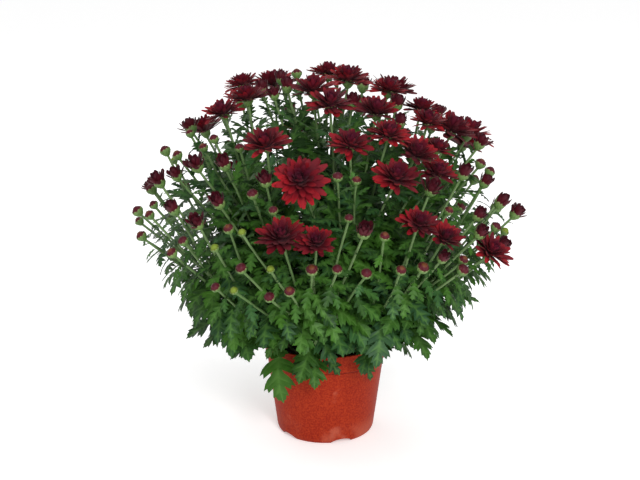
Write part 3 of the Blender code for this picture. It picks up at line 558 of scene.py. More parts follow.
class Plan:
    """Where everything stands: sprays, heads and leaves, each clear of what was placed before it."""

    def __init__(self) -> None:
        """Lays the whole plant out."""
        self.draw = random.Random(SEED)
        self.axes = [direction(0, 0)]
        for i in range(MIDDLE_SPRAYS):
            self.axes.append(direction(MIDDLE_FIRST + i * 360 / MIDDLE_SPRAYS, MIDDLE_LEAN))
        for i in range(OUTER_SPRAYS):
            self.axes.append(direction(OUTER_FIRST + i * 360 / OUTER_SPRAYS, OUTER_LEAN))
        self.stems: list[list[Vector]] = []
        self.obstacles: list[Obstacle] = []
        self.heads: list[Head] = []
        self.leaves: list[Leaf] = []
        self.place_pot()
        self.place_stems()
        self.place_heads()
        self.place_leaves()

    def place_pot(self) -> None:
        """Keeps the pot and soil as one obstacle."""
        profile = [(0, 0), (FOOT_RADIUS, 0), (RIM_RADIUS + MM, RIM_BAND_BOTTOM)]
        profile += [(RIM_RADIUS + MM, RIM_HEIGHT + MM), (RIM_RADIUS - 4 * MM, RIM_HEIGHT + MM)]
        profile += [(RIM_RADIUS - 4 * MM, SOIL_TOP), (0, SOIL_TOP + SOIL_MOUND + MM)]
        self.obstacles.append(Obstacle("pot", *ring_shape(profile, POT_SIDES, Matrix.Identity(4))))

    def place_stems(self) -> None:
        """Straight main stems from the soil, each inside its own cone about its spray's axis."""
        for number, axis in enumerate(self.axes):
            start = CROWN + axis * ((SOIL_TOP - STEM_DEPTH - CROWN.z) / axis.z)
            edge = dome_point(turn_of(CROWN + axis), lean_of(CROWN + axis), 0.0)
            end = CROWN + (edge - CROWN) * STEM_SHARE
            path = [start.lerp(end, i / 4) for i in range(5)]
            self.stems.append(path)
            radii = [STEM_RADIUS + STEM_MARGIN] * len(path)
            shape = tube_shape(path, radii, STEM_SIDES)
            self.obstacles.append(Obstacle(f"spray_{number}", *shape, f"stem_{number}"))

    def place_heads(self) -> None:
        """Sets the heads on the dome, moves them apart, then grows a stalk to each."""
        for turn, lean, radius, level, nod in BLOOMS:
            self.add_head(Kind.BLOOM, turn, lean, radius * MM, level * MM, nod)
        closed = (
            (Kind.HALF_OPEN, HALF_OPEN, HALF_OPEN_RADIUS, HALF_OPEN_SIZES, HALF_OPEN_LEVELS),
            (Kind.BUD, BUDS, BUD_RADIUS, BUD_SIZES, BUD_LEVELS),
        )
        for kind, places, radius, sizes, levels in closed:
            for turn, lean in places:
                size = radius * self.draw.uniform(*sizes)
                level = self.draw.uniform(*levels) * MM
                self.add_head(kind, turn, lean, size, level, 0)
        for _ in range(PARTING_ROUNDS):
            self.part_heads()
        self.heads = [head for head in self.heads if self.grow_stalk(head)]

    def add_head(
        self, kind: Kind, turn: float, lean: float, radius: float, level: float, nod: float
    ) -> None:
        """Adds one head at its wished place.

        Args:
            kind: what it is.
            turn: degrees round the plant.
            lean: degrees from straight up at the crown.
            radius: of the head.
            level: metres outside the dome.
            nod: extra tilt outwards in degrees.
        """
        seat = dome_point(turn, lean, level)
        self.heads.append(Head(kind, len(self.heads), radius, seat, Vector((0, 0, 1)), nod))
        self.heads[-1].axis = self.axis_at(self.heads[-1])

    def axis_at(self, head: Head) -> Vector:
        """Way a head faces: less leaned than its place on the dome, plus its own nod."""
        share = BLOOM_FACING_SHARE if head.kind is Kind.BLOOM else BUD_FACING_SHARE
        return direction(turn_of(head.seat), lean_of(head.seat) * share + head.nod)

    def part_heads(self) -> None:
        """One round of moving heads apart that are too near each other."""
        for i, a in enumerate(self.heads):
            for b in self.heads[i + 1 :]:
                apart = b.seat - a.seat
                if apart.length > a.radius + b.radius + PARTING_REACH:
                    continue
                out = (a.axis + b.axis).normalized()
                rise = apart.dot(out)
                across = apart - out * rise
                if across.length < 1e-6:
                    across = Vector((MM, 0, 0))
                lower = a if rise > 0 else b
                under = lower.radius + LAYER_GAP
                side = SIDE_SHARE * (a.radius + b.radius) + MM
                high = BLOOM_LAYER if Kind.BLOOM in (a.kind, b.kind) else BUD_LAYER
                move = Vector()
                if across.length < under:
                    move = across.normalized() * (under - across.length)
                elif across.length < side and abs(rise) < high:
                    sideways, upright = side - across.length, high - abs(rise)
                    if sideways < upright:
                        move = across.normalized() * sideways
                    else:
                        move = out * math.copysign(upright, rise)
                weight = b.radius / (a.radius + b.radius)
                a.seat = a.seat - move * weight * 0.5
                b.seat = b.seat + move * (1 - weight) * 0.5
        for head in self.heads:
            head.axis = self.axis_at(head)

    def grow_stalk(self, head: Head) -> bool:
        """Grows a stalk from the nearest spray's main stem to a head, clear of the other sprays.

        Args:
            head: the head, already on its place.

        Returns:
            Whether a clear way was found.
        """
        ray = (head.seat - CROWN).normalized()
        order = sorted(range(len(self.axes)), key=lambda k: -ray.dot(self.axes[k]))
        foot = head.seat - head.axis * CUP_DEPTH * head.scale * CUP_SUNK
        for spray in order[:2]:
            stem = self.stems[spray]
            spread = math.degrees(ray.angle(self.axes[spray]))
            lowest = stem[0].lerp(stem[-1], STALK_LOWEST)
            first = max(STALK_LEAST_SHARE, STALK_FIRST_SHARE - spread / STALK_SPREAD)
            for share in (first, *STALK_SHARES):
                start = lowest.lerp(stem[-1], share)
                reach = (foot - start).length / 3
                path = bezier(start, start + self.axes[spray] * reach, foot - head.axis * reach, foot, 2)
                radii = [STALK_RADIUS + STALK_MARGIN] * len(path)
                firm = in_coarse_form(head)
                name = f"stalk_{head.number}"
                tube = Obstacle(f"spray_{spray}", *tube_shape(path, radii, STALK_SIDES), name, firm)
                top = Obstacle(f"head_{head.number}", *self.head_envelope(head), "", firm)
                if self.clear(tube, spray) and self.clear(top, -1):
                    head.spray = spray
                    head.stalk = path
                    self.obstacles += [tube, top]
                    return True
        return False

    def clear(self, shape: Obstacle, spray: int) -> bool:
        """Whether a shape crosses nothing placed, apart from the stem and stalks of its own spray."""
        own = f"spray_{spray}"
        return not any(o.owner != own and o.hits(shape) for o in self.obstacles)

    def clear_leaf(self, shape: Obstacle, host: str, care: int) -> bool:
        """Whether a leaf is clear of what is placed.

        Args:
            shape: the leaf.
            host: name of the stem or stalk that it grows on.
            care: 0 to keep off the solids of other nodes, 1 off its own too, 2 off the fine form as well.

        Returns:
            Whether it is clear.
        """
        for other in self.obstacles:
            own = other.owner == shape.owner
            if other.name == host or (care < 2 and not other.firm) or (care < 1 and own):
                continue
            if other.hits(shape):
                return False
        return True

    def head_envelope(self, head: Head) -> Shape:
        """Closed shape round all of a head.

        Args:
            head: on its place.

        Returns:
            Points and faces.
        """
        r, s = head.radius, head.scale
        cup = (0.0, -CUP_DEPTH * s)
        if head.kind is Kind.BLOOM:
            edge, top = r * BLOOM_EDGE_SHARE, r * BLOOM_TOP_SHARE + BLOOM_MARGIN
            profile = [cup, (CUP_RADIUS * s + MM, 0.0), (r, edge - MM), (r, edge + BLOOM_MARGIN)]
            profile += [(r * BLOOM_TOP_RADIUS, top), (0.0, top)]
        elif head.kind is Kind.HALF_OPEN:
            rim, top = HALF_OPEN_SPACE
            profile = [cup, (CUP_RADIUS * s, 0.0), (r, r * rim), (0.0, r * top)]
        else:
            profile = [cup, (r, 0.0), (0.0, r * BUD_SPACE)]
        return ring_shape(profile, ENVELOPE_SIDES, head.matrix)

    def place_leaves(self) -> None:
        """Grows leaves up every main stem and on the stalks, each turned until it is clear."""
        for spray, stem in enumerate(self.stems):
            outer = spray > MIDDLE_SPRAYS
            shares = OUTER_LEAF_SHARES if outer else MIDDLE_LEAF_SHARES
            for i, share in enumerate(shares):
                root = stem[0].lerp(stem[-1], share)
                length = (LEAF_LENGTH - LEAF_TAPER * share) * self.draw.uniform(*LEAF_SIZES)
                fan = OUTER_LEAF_FAN[i] if outer else i * GOLDEN_TURN + spray * MIDDLE_LEAF_TURN
                poses = SKIRT_LEAF_POSES if outer and i < 3 else LEAF_POSES
                axis, host = self.axes[spray], f"stem_{spray}"
                self.place_leaf(spray, host, root, axis, length, fan, poses, LEAF_TRIES)
        for head in self.heads:
            every = LOW_LEAF_EVERY if lean_of(head.seat) > LOW_HEAD_LEAN else HIGH_LEAF_EVERY
            if not in_coarse_form(head) or head.number % every > 0:
                continue
            share = self.draw.uniform(*STALK_LEAF_SHARES)
            root = head.stalk[0].lerp(head.stalk[1], 2 * share)
            along = (head.stalk[1] - head.stalk[0]).normalized()
            length = STALK_LEAF_LENGTH * self.draw.uniform(*STALK_LEAF_SIZES)
            fan = self.draw.uniform(-STALK_LEAF_FAN, STALK_LEAF_FAN)
            host = f"stalk_{head.number}"
            self.place_leaf(head.spray, host, root, along, length, fan, LEAF_POSES, CLEAR_LEAF_TRIES)

    def place_leaf(
        self,
        spray: int,
        host: str,
        root: Vector,
        axis: Vector,
        length: float,
        fan: float,
        poses: Pairs,
        tries: tuple[tuple[int, float], ...],
    ) -> bool:
        """Turns one leaf round its stem until it is clear, shorter if it has to be.

        Args:
            spray: whose leaf it is.
            host: name of the stem or stalk that it grows on.
            root: point on the stem.
            axis: the stem's way there.
            length: wished length.
            fan: wished turn round the stem, 0 straight outwards from the plant.
            poses: rise and droop to try, best first.
            tries: care and share of the wished length to try, best first.

        Returns:
            Whether a clear place was found.
        """
        for care, size in tries:
            for swing in LEAF_SWINGS:
                for rise, droop in poses:
                    pose = (fan + swing, rise, droop)
                    leaf = self.turned_leaf(spray, root, axis, length * size, *pose)
                    points, faces = leaf_shape(leaf, LEAF_ENVELOPE)
                    if any(buried(p) for p in points):
                        continue
                    shape = Obstacle(f"spray_{spray}", points, faces)
                    if self.clear_leaf(shape, host, care):
                        self.leaves.append(leaf)
                        self.obstacles.append(shape)
                        return True
        return False

    def turned_leaf(
        self, spray: int, root: Vector, axis: Vector, length: float, turn: float, rise: float, droop: float
    ) -> Leaf:
        """A leaf set round its stem.

        Args:
            spray: whose stem it grows on.
            root: point on the stem.
            axis: the stem's way there.
            length: from root to tip.
            turn: degrees round the stem, 0 straight outwards from the plant.
            rise: degrees above square to the stem.
            droop: degrees that the midrib bends down over its length.

        Returns:
            The leaf.
        """
        out = Vector((axis.x, axis.y, 0.0)) if axis.xy.length > 0.1 else Vector((0, -1, 0))
        square = (out - axis * out.dot(axis)).normalized()
        square = Matrix.Rotation(math.radians(turn), 3, axis) @ square
        up = math.radians(rise)
        along = square * math.cos(up) + axis * math.sin(up)
        facing = axis * math.cos(up) - square * math.sin(up) + Vector((0, 0, LEAF_SKY_PULL))
        return Leaf(root, along, facing, length, length * LEAF_WIDTH_SHARE, droop, spray)


# Fine leaves between those of the solids


@dataclass
class Twig:
    """A leaf with no solid of its own: small, or filling the green under the blooms."""

    leaf: Leaf
    small: bool


class FinePlan(Plan):
    """The plan of the solids, with the leaves that only the fine form has."""

    STEM_FILL = 10
    STEM_FILL_SPAN = (0.22, 0.97)
    STEM_FILL_SHIFT = (0, 0.6)
    STEM_FILL_LENGTHS = (0.062, 0.034)
    STEM_FILL_SIZES = (0.85, 1.2)
    SKIRT_SHARE = 0.6
    SMALL_SHARES = (0.60, 0.78, 0.91)
    SMALL_SHIFT = (-0.05, 0.04)
    SMALL_LENGTHS = (0.022, 0.015, 0.010)
    SMALL_SIZES = (0.8, 1.3)
    SMALL_FAN = 61
    SMALL_RISES = (30, 58)
    SMALL_DROOP = 35
    POSES = ((25, 45), (45, 40), (5, 50), (62, 25))
    SKIRT = ((28, 30), (10, 28), (45, 40), (-8, 30))
    TRIES = ((2, 1.0), (1, 0.9), (1, 0.7), (0, 0.7), (0, 0.55))
    REACH = 0.222
    LOWEST = 0.122
    OPEN_RADIUS = 0.100
    OPEN_SLOPE = 0.8
    STALK_SPAN = (0.010, 0.009)
    STALK_STEP = (0.0036, 0.17)
    LONGEST = 0.056
    SHORTEST = 0.015
    LENGTH_RISE = 0.40
    STALK_SIZES = (0.75, 1.2)
    STALK_FAN = 77
    STEP_SIZES = (0.8, 1.2)
    INWARD = 0.55
    INWARD_ABOVE = 0.165
    OUTER_STEP = 1.5
    HANGING = (
        (13, 0.33, 0.080, 40, 25, 75),
        (6, 0.30, 0.044, -50, 25, 75),
        (6, 0.30, 0.040, 50, 25, 60),
        (7, 0.30, 0.044, 0, 25, 65),
        (13, 0.90, 0.070, -20, 20, 15),
        (13, 0.80, 0.066, -20, 20, 35),
        (13, 0.50, 0.056, -20, 20, 15),
        (12, 0.90, 0.056, 20, 30, 15),
        (12, 0.70, 0.060, -30, 20, 20),
        (8, 0.90, 0.060, 0, 40, 15),
        (8, 0.70, 0.062, -20, 20, 15),
        (8, 0.70, 0.050, -40, 40, 15),
        (7, 0.80, 0.050, 40, 0, 15),
    )
    OPENING = (-0.052, 0.022, -0.035, 0.146)
    SWINGS = (0, 45, -45, 90, -90, 135, -135, 180)
    STALK_POSES = ((38, 40), (58, 30), (15, 45))
    PROBES = (0.45, 0.72, 1.0)
    HEAD_ROOM = 0.0015
    STALK_ROOM = 0.0016
    STALK_WEIGHT = 4
    LEAF_ROOM = 0.0044

    def __init__(self) -> None:
        """Lays the solids out, then adds what is fine."""
        super().__init__()
        self.twigs: list[Twig] = []
        self.hang_leaves()
        self.fill_stems()
        self.fill_stalks()
        self.add_small_leaves()

    def hang_leaves(self) -> None:
        """The few leaves that arch over the pot's rim and hang in front of it."""
        for spray, share, length, turn, rise, droop in self.HANGING:
            stem = self.stems[spray]
            root = stem[0].lerp(stem[-1], share)
            leaf = self.turned_leaf(spray, root, self.axes[spray], length, turn, rise, droop)
            self.twigs.append(Twig(leaf, False))

    def fill_stems(self) -> None:
        """More leaves up every main stem, where there is room."""
        for spray, stem in enumerate(self.stems):
            low, high = self.STEM_FILL_SPAN
            for i in range(self.STEM_FILL):
                share = low + (high - low) * (i + self.draw.uniform(*self.STEM_FILL_SHIFT)) / self.STEM_FILL
                start, end = self.STEM_FILL_LENGTHS
                length = (start + (end - start) * share) * self.draw.uniform(*self.STEM_FILL_SIZES)
                poses = self.SKIRT if spray > MIDDLE_SPRAYS and share < self.SKIRT_SHARE else self.POSES
                root = stem[0].lerp(stem[-1], share)
                fan = i * GOLDEN_TURN + spray * MIDDLE_LEAF_TURN
                host, axis = f"stem_{spray}", self.axes[spray]
                grown = self.place_leaf(spray, host, root, axis, length, fan, poses, self.TRIES)
                if grown and not self.in_reach(self.leaves[-1]):
                    self.leaves.pop()
                    self.obstacles.pop()

    def fill_stalks(self) -> None:
        """Leaves up every stalk to close under its head, each turned to where there is most room."""
        ends = [line for head in self.heads for line in (head.stalk[:2], head.stalk[1:])]
        ends += [[stem[0], stem[-1]] for stem in self.stems]
        self.line_from = np.array([line[0] for line in ends])
        self.line_step = np.array([line[1] for line in ends]) - self.line_from
        self.ball_at = np.array([head.seat for head in self.heads])
        self.ball_radius = np.array([head.radius for head in self.heads])
        self.taken = np.array([leaf.frame(s).translation for leaf in self.leaves for s in self.PROBES])
        for head in self.heads:
            low, middle, high = head.stalk
            first, second = (middle - low).length, (high - middle).length
            start, end = self.STALK_SPAN
            at, count = start, 0
            while at < first + second - end:
                length = min(self.LONGEST, self.SHORTEST + (first + second - at) * self.LENGTH_RISE)
                length *= self.draw.uniform(*self.STALK_SIZES)
                if at < first:
                    root, axis = low.lerp(middle, at / first), middle - low
                else:
                    root, axis = middle.lerp(high, (at - first) / second), high - middle
                fan = head.number * self.STALK_FAN + count * GOLDEN_TURN
                self.seek_room(head, root, axis.normalized(), length, fan)
                gap, share = self.STALK_STEP
                step = gap + share * length * self.draw.uniform(*self.STEP_SIZES)
                at += step * (self.OUTER_STEP if head.spray > MIDDLE_SPRAYS else 1.0)
                count += 1

    def seek_room(self, head: Head, root: Vector, axis: Vector, length: float, fan: float) -> None:
        """Grows a leaf the way that leaves it most room, or none where there is none.

        Args:
            head: on whose stalk it grows.
            root: point on the stalk.
            axis: the stalk's way there.
            length: of the leaf.
            fan: wished turn round the stalk.
        """
        best, most = None, 0.0
        outwards = (root - Vector((0, 0, RIM_HEIGHT))).normalized()
        for swing in self.SWINGS:
            for rise, droop in self.STALK_POSES:
                leaf = self.turned_leaf(head.spray, root, axis, length, fan + swing, rise, droop)
                probes = np.array([leaf.frame(share).translation for share in self.PROBES])
                room = self.room(probes)
                if head.spray > MIDDLE_SPRAYS and root.z > self.INWARD_ABOVE:
                    tip = (Vector(probes[-1]) - root).normalized()
                    room *= 1 - self.INWARD * tip.dot(outwards)
                if room > most:
                    best, most = leaf, room
        if best is None or not self.in_reach(best):
            return
        self.twigs.append(Twig(best, False))
        probes = [best.frame(share).translation for share in self.PROBES]
        self.taken = np.concatenate((self.taken, np.array(probes)))

    def room(self, probes: np.ndarray) -> float:
        """How clear points on a leaf are, in metres, and 0 where they touch something.

        Args:
            probes: points along the leaf's midrib.

        Returns:
            The least distance to another leaf, once heads and stalks are clear.
        """
        off = probes[:, None] - self.line_from
        share = (off * self.line_step).sum(2) / (self.line_step**2).sum(1)
        gap = np.linalg.norm(off - np.clip(share, 0, 1)[:, :, None] * self.line_step, axis=2).min()
        away = (np.linalg.norm(probes[:, None] - self.ball_at, axis=2) - self.ball_radius).min()
        leaves = np.linalg.norm(probes[:, None] - self.taken, axis=2).min()
        clear = gap > self.STALK_ROOM and away > self.HEAD_ROOM and leaves > self.LEAF_ROOM
        return float(min(leaves, self.STALK_WEIGHT * gap)) if clear else 0.0

    def in_reach(self, leaf: Leaf) -> bool:
        """Whether a leaf stays inside the plant's outline and leaves the pot's rim and the soil in view.

        Args:
            leaf: where it grows.

        Returns:
            Whether it does.
        """
        left, right, front, top = self.OPENING
        for share in self.PROBES:
            point = leaf.frame(share).translation
            out = point.xy.length
            lowest = self.LOWEST + max(0.0, self.OPEN_RADIUS - out) * self.OPEN_SLOPE
            in_opening = left < point.x < right and point.y < front and point.z < top
            if in_opening or out > self.REACH or point.z < lowest:
                return False
        return True

    def add_small_leaves(self) -> None:
        """Narrow little leaves close under the heads, hugging their stalks."""
        for head in self.heads:
            for i, share in enumerate(self.SMALL_SHARES):
                share += self.draw.uniform(*self.SMALL_SHIFT)
                length = self.SMALL_LENGTHS[i] * self.draw.uniform(*self.SMALL_SIZES)
                low, high = head.stalk[1:] if share > 0.5 else head.stalk[:2]
                root = low.lerp(high, 2 * share - 1 if share > 0.5 else 2 * share)
                along = (high - low).normalized()
                turn = head.number * self.SMALL_FAN + i * GOLDEN_TURN
                rise = self.draw.uniform(*self.SMALL_RISES)
                pose = (turn, rise, self.SMALL_DROOP)
                self.twigs.append(Twig(self.turned_leaf(head.spray, root, along, length, *pose), True))


# Shader maths


class Wire:
    """A number on a socket, so that arithmetic on it adds Math nodes."""

    def __init__(self, graph: "Graph", socket: Socket) -> None:
        """Wraps a socket.

        Args:
            graph: the material's nodes.
            socket: an output that gives a number.
        """
        self.graph = graph
        self.socket = socket

    def _math(self, operation: str, first: "Wire | float", second: "Wire | float") -> "Wire":
        """Adds one Math node and gives its result."""
        return self.graph.number("ShaderNodeMath", {"operation": operation}, {0: first, 1: second})

    def __add__(self, other: "Wire | float") -> "Wire":
        """Sum."""
        return self._math("ADD", self, other)

    def __radd__(self, other: float) -> "Wire":
        """Sum, from the right."""
        return self._math("ADD", other, self)

    def __sub__(self, other: "Wire | float") -> "Wire":
        """Difference."""
        return self._math("SUBTRACT", self, other)

    def __rsub__(self, other: float) -> "Wire":
        """Difference, from the right."""
        return self._math("SUBTRACT", other, self)

    def __mul__(self, other: "Wire | float") -> "Wire":
        """Product."""
        return self._math("MULTIPLY", self, other)

    def __rmul__(self, other: float) -> "Wire":
        """Product, from the right."""
        return self._math("MULTIPLY", other, self)

    def power(self, exponent: float) -> "Wire":
        """The number raised to a power."""
        return self._math("POWER", self, exponent)

    def clamped(self) -> "Wire":
        """The number held between 0 and 1."""
        return self.graph.number("ShaderNodeClamp", {}, {"Value": self, "Min": 0.0, "Max": 1.0})

    def band(self, low: float, high: float) -> "Wire":
        """0 below one value, 1 above another, smooth between them."""
        sockets = {"Value": self, "From Min": low, "From Max": high, "To Min": 0.0, "To Max": 1.0}
        return self.graph.number("ShaderNodeMapRange", {"interpolation_type": "SMOOTHSTEP"}, sockets)


Colour = tuple[float, float, float]


class Graph:
    """The nodes of one material, with its Principled shader."""

    OFFSET = 37.0

    def __init__(self, name: str, fixed: dict[str, float]) -> None:
        """Makes the material.

        Args:
            name: of the material.
            fixed: values set on the shader's own sockets.
        """
        self.material = bpy.data.materials.new(name)
        self.material.use_nodes = True
        self.tree = self.material.node_tree
        self.shader = self.tree.nodes["Principled BSDF"]
        for key, value in fixed.items():
            self.shader.inputs[key].default_value = value

    def node(self, kind: str, settings: dict, sockets: dict) -> bpy.types.Node:
        """Adds one node.

        Args:
            kind: its type.
            settings: its own settings, set first.
            sockets: value, wire or socket for each input, by name or number.

        Returns:
            The node.
        """
        made = self.tree.nodes.new(kind)
        for key, value in settings.items():
            setattr(made, key, value)
        for key, value in sockets.items():
            if isinstance(value, Wire):
                self.tree.links.new(value.socket, made.inputs[key])
            elif isinstance(value, Socket):
                self.tree.links.new(value, made.inputs[key])
            else:
                made.inputs[key].default_value = value
        return made

    def number(self, kind: str, settings: dict, sockets: dict) -> Wire:
        """Adds one node and wraps its first output."""
        return Wire(self, self.node(kind, settings, sockets).outputs[0])

    def mark(self, name: str) -> Wire:
        """The value that the mesh carries under a name."""
        made = self.node("ShaderNodeAttribute", {"attribute_type": "GEOMETRY", "attribute_name": name}, {})
        return Wire(self, made.outputs["Fac"])

    def marks(self, *names: str) -> list[Wire]:
        """The values that the mesh carries under several names."""
        return [self.mark(name) for name in names]

    def place(self) -> Socket:
        """Object coordinates."""
        return self.node("ShaderNodeTexCoord", {}, {}).outputs["Object"]

    def noise(self, scale: float, detail: float) -> Wire:
        """Noise about 0.5 in the object's own space, so many waves to the metre, with so many octaves."""
        sockets = {"Vector": self.place(), "Scale": scale, "Detail": detail}
        return self.number("ShaderNodeTexNoise", {}, sockets)

    def height(self) -> Wire:
        """Metres above the object's origin."""
        return Wire(self, self.node("ShaderNodeSeparateXYZ", {}, {0: self.place()}).outputs[2])

    def streaks(self, across: Wire, along: Wire, count: float, length: float, offset: Wire) -> Wire:
        """Noise drawn out along a petal, leaf or stalk.

        Args:
            across: coordinate across.
            along: coordinate along.
            count: waves over one unit across.
            length: waves over one unit along.
            offset: shift that makes each copy its own.

        Returns:
            The noise.
        """
        sockets = {0: across * count, 1: along * length, 2: offset * self.OFFSET}
        where = self.node("ShaderNodeCombineXYZ", {}, sockets).outputs[0]
        return self.number("ShaderNodeTexNoise", {}, {"Vector": where, "Scale": 1.0, "Detail": 2.0})

    def mix(self, share: Wire, first: Colour | Socket, second: Colour | Socket) -> Socket:
        """Mixes two colours.

        Args:
            share: of the second.
            first: a colour or a colour socket.
            second: a colour or a colour socket.

        Returns:
            The colour socket.
        """
        made = self.node("ShaderNodeMix", {"data_type": "RGBA"}, {0: share})
        for index, value in ((6, first), (7, second)):
            if isinstance(value, tuple):
                made.inputs[index].default_value = (*value, 1.0)
            else:
                self.tree.links.new(value, made.inputs[index])
        return made.outputs[2]

    def colour(self, socket: Socket) -> None:
        """Leads a colour to the surface."""
        self.tree.links.new(socket, self.shader.inputs["Base Color"])

    def roughness(self, wire: Wire) -> None:
        """Leads a number to the roughness."""
        self.tree.links.new(wire.socket, self.shader.inputs["Roughness"])

    def bump(self, height: Wire, distance: float, strength: float = 1.0) -> None:
        """Leads a height to the surface's relief.

        Args:
            height: 0 to 1.
            distance: metres that 1 stands for.
            strength: share of the effect.
        """
        sockets = {"Height": height, "Distance": distance, "Strength": strength}
        made = self.node("ShaderNodeBump", {}, sockets)
        self.tree.links.new(made.outputs[0], self.shader.inputs["Normal"])


# Finishes


class Finish:
    """What all finishes share: a name, fixed values of the shader, and nodes wired to it."""

    NAME = ""
    SHADER: dict[str, float] = {}

    def make(self) -> Material:
        """Makes the material.

        Returns:
            The material.
        """
        g = Graph(self.NAME, self.SHADER)
        self.wire(g)
        return g.material

    def wire(self, g: Graph) -> None:
        """Wires the nodes."""


@dataclass(frozen=True)
class PetalFinish(Finish):
    """Velvety petal: purple at the bloom's heart, painted shade in dark burgundy at each root, along the
    edges and on petals turned from the light, painted light in scarlet towards the tips of petals on the lit
    side, with darker veins.
    """

    NAME = "petal_velvet"
    SHADER = {"Roughness": 0.6, "Sheen Weight": 0.03, "Specular IOR Level": 0.18}
    heart: Colour = (0.090, 0.006, 0.028)
    # Dark burgundy: painted shade, also the colour of the darker veins.
    shade: Colour = (0.066, 0.002, 0.008)
    # Scarlet: painted light on the lit petals.
    bright: Colour = (0.340, 0.003, 0.008)
    back: Colour = (0.120, 0.008, 0.022)

    def wire(self, g: Graph) -> None:
        """Wires the nodes.

        Args:
            g: the material's graph.
        """
        along, across, tone, depth = g.marks("along", "across", "tone", "depth")
        lines = g.streaks(across, along, 9.0, 1.2, tone)
        # Painted light and shade: the petal's tone, higher on the bloom's lit side, lifts it towards scarlet,
        # while its root and the inner petals stay darker in painted shade.
        glow = along.band(0.15, 0.90) * (1.0 - depth.band(0.25, 0.90)) * (0.15 + 1.1 * tone)
        skin = g.mix(glow.clamped(), self.shade, self.bright)
        skin = g.mix(depth.band(0.50, 1.0) * 0.9, skin, self.heart)
        skin = g.mix((lines.band(0.35, 0.62) * -1.0 + 1.0) * 0.45, skin, self.shade)
        # Painted shade along each petal's edges, standing for the shade between overlapping petals.
        skin = g.mix((across * across).band(0.4, 1.0) * 0.4, skin, self.shade)
        skin = g.mix((1.0 - g.mark("side")) * 0.55, skin, self.back)
        g.colour(skin)
        g.bump(lines, 0.0005, 0.7)


@dataclass(frozen=True)
class BudFinish(Finish):
    """Closed petals: pale at the root, a burgundy band, darker or brownish where the tips meet."""

    NAME = "bud_petals"
    SHADER = {"Roughness": 0.5, "Sheen Weight": 0.03, "Specular IOR Level": 0.2}
    pale: Colour = (0.34, 0.28, 0.13)
    wine: Colour = (0.070, 0.003, 0.009)
    tips: Colour = (0.045, 0.003, 0.009)
    rim: Colour = (0.150, 0.018, 0.030)
    ochre: Colour = (0.135, 0.042, 0.012)
    young: Colour = (0.150, 0.210, 0.020)

    def wire(self, g: Graph) -> None:
        """Wires the nodes.

        Args:
            g: the material's graph.
        """
        along, across, tone, depth = g.marks("along", "across", "tone", "depth")
        lines = g.streaks(across, along, 7.0, 1.0, tone)
        edge = along + (lines - 0.5) * 0.22
        skin = g.mix(edge.band(0.10, 0.30), self.pale, self.wine)
        skin = g.mix(edge.band(0.62, 0.98) * 0.7, skin, self.tips)
        skin = g.mix((across * across).band(0.55, 1.0) * 0.5, skin, self.rim)
        skin = g.mix(edge.band(0.60, 0.90) * g.mark("rib"), skin, self.ochre)
        skin = g.mix(depth.band(0.55, 0.90), skin, self.young)
        skin = g.mix(lines.band(0.45, 0.75) * 0.25, skin, self.tips)
        g.colour(skin)
        g.bump(lines, 0.0002, 0.5)


@dataclass(frozen=True)
class LeafFinish(Finish):
    """Lobed leaf: dull dark green, bluish on some leaves, with paler veins and a greyer underside."""

    NAME = "leaf_green"
    SHADER = {"Specular IOR Level": 0.22}
    deep: Colour = (0.009, 0.038, 0.005)
    fresh: Colour = (0.046, 0.145, 0.010)
    vein: Colour = (0.095, 0.220, 0.040)
    under: Colour = (0.055, 0.120, 0.045)
    bluish: Colour = (0.022, 0.075, 0.034)
    blotches: float = 90.0
    grain: float = 700.0

    def wire(self, g: Graph) -> None:
        """Wires the nodes.

        Args:
            g: the material's graph.
        """
        along, across, tone, rib = g.marks("along", "across", "tone", "rib")
        age = g.mark("depth")
        blotch, fine = g.noise(self.blotches, 3.0), g.noise(self.grain, 2.0)
        skin = g.mix((tone * 0.75 + (blotch - 0.5) * 0.9).clamped(), self.deep, self.fresh)
        skin = g.mix(age.band(0.60, 1.0) * 0.55, skin, self.bluish)
        net = g.streaks(across + along * 0.45, along, 26.0, 26.0, tone)
        skin = g.mix(net.band(0.56, 0.72) * 0.14, skin, self.vein)
        skin = g.mix(rib.power(2.0) * 0.55, skin, self.vein)
        skin = g.mix((1.0 - g.mark("side")).band(0.30, 0.70) * 0.75, skin, self.under)
        g.colour(skin)
        g.roughness(0.44 + blotch * 0.18)
        g.bump(net * 0.5 + fine * 0.3 - rib * 0.9, 0.0005, 0.7)


@dataclass(frozen=True)
class StalkFinish(Finish):
    """Ribbed green stalk with a grey bloom, browner at the foot."""

    NAME = "stalk_green"
    SHADER = {"Roughness": 0.6, "Specular IOR Level": 0.2}
    green: Colour = (0.075, 0.150, 0.040)
    pale: Colour = (0.175, 0.255, 0.110)
    foot: Colour = (0.130, 0.100, 0.045)

    def wire(self, g: Graph) -> None:
        """Wires the nodes.

        Args:
            g: the material's graph.
        """
        along, across, tone = g.marks("along", "across", "tone")
        lines = g.streaks(across, along, 14.0, 3.0, tone)
        skin = g.mix((lines.band(0.3, 0.7) * 0.6 + tone * 0.4).clamped(), self.green, self.pale)
        skin = g.mix((1.0 - g.height().band(0.098, 0.128)) * 0.7, skin, self.foot)
        g.colour(skin)
        g.bump(lines, 0.0004, 0.7)


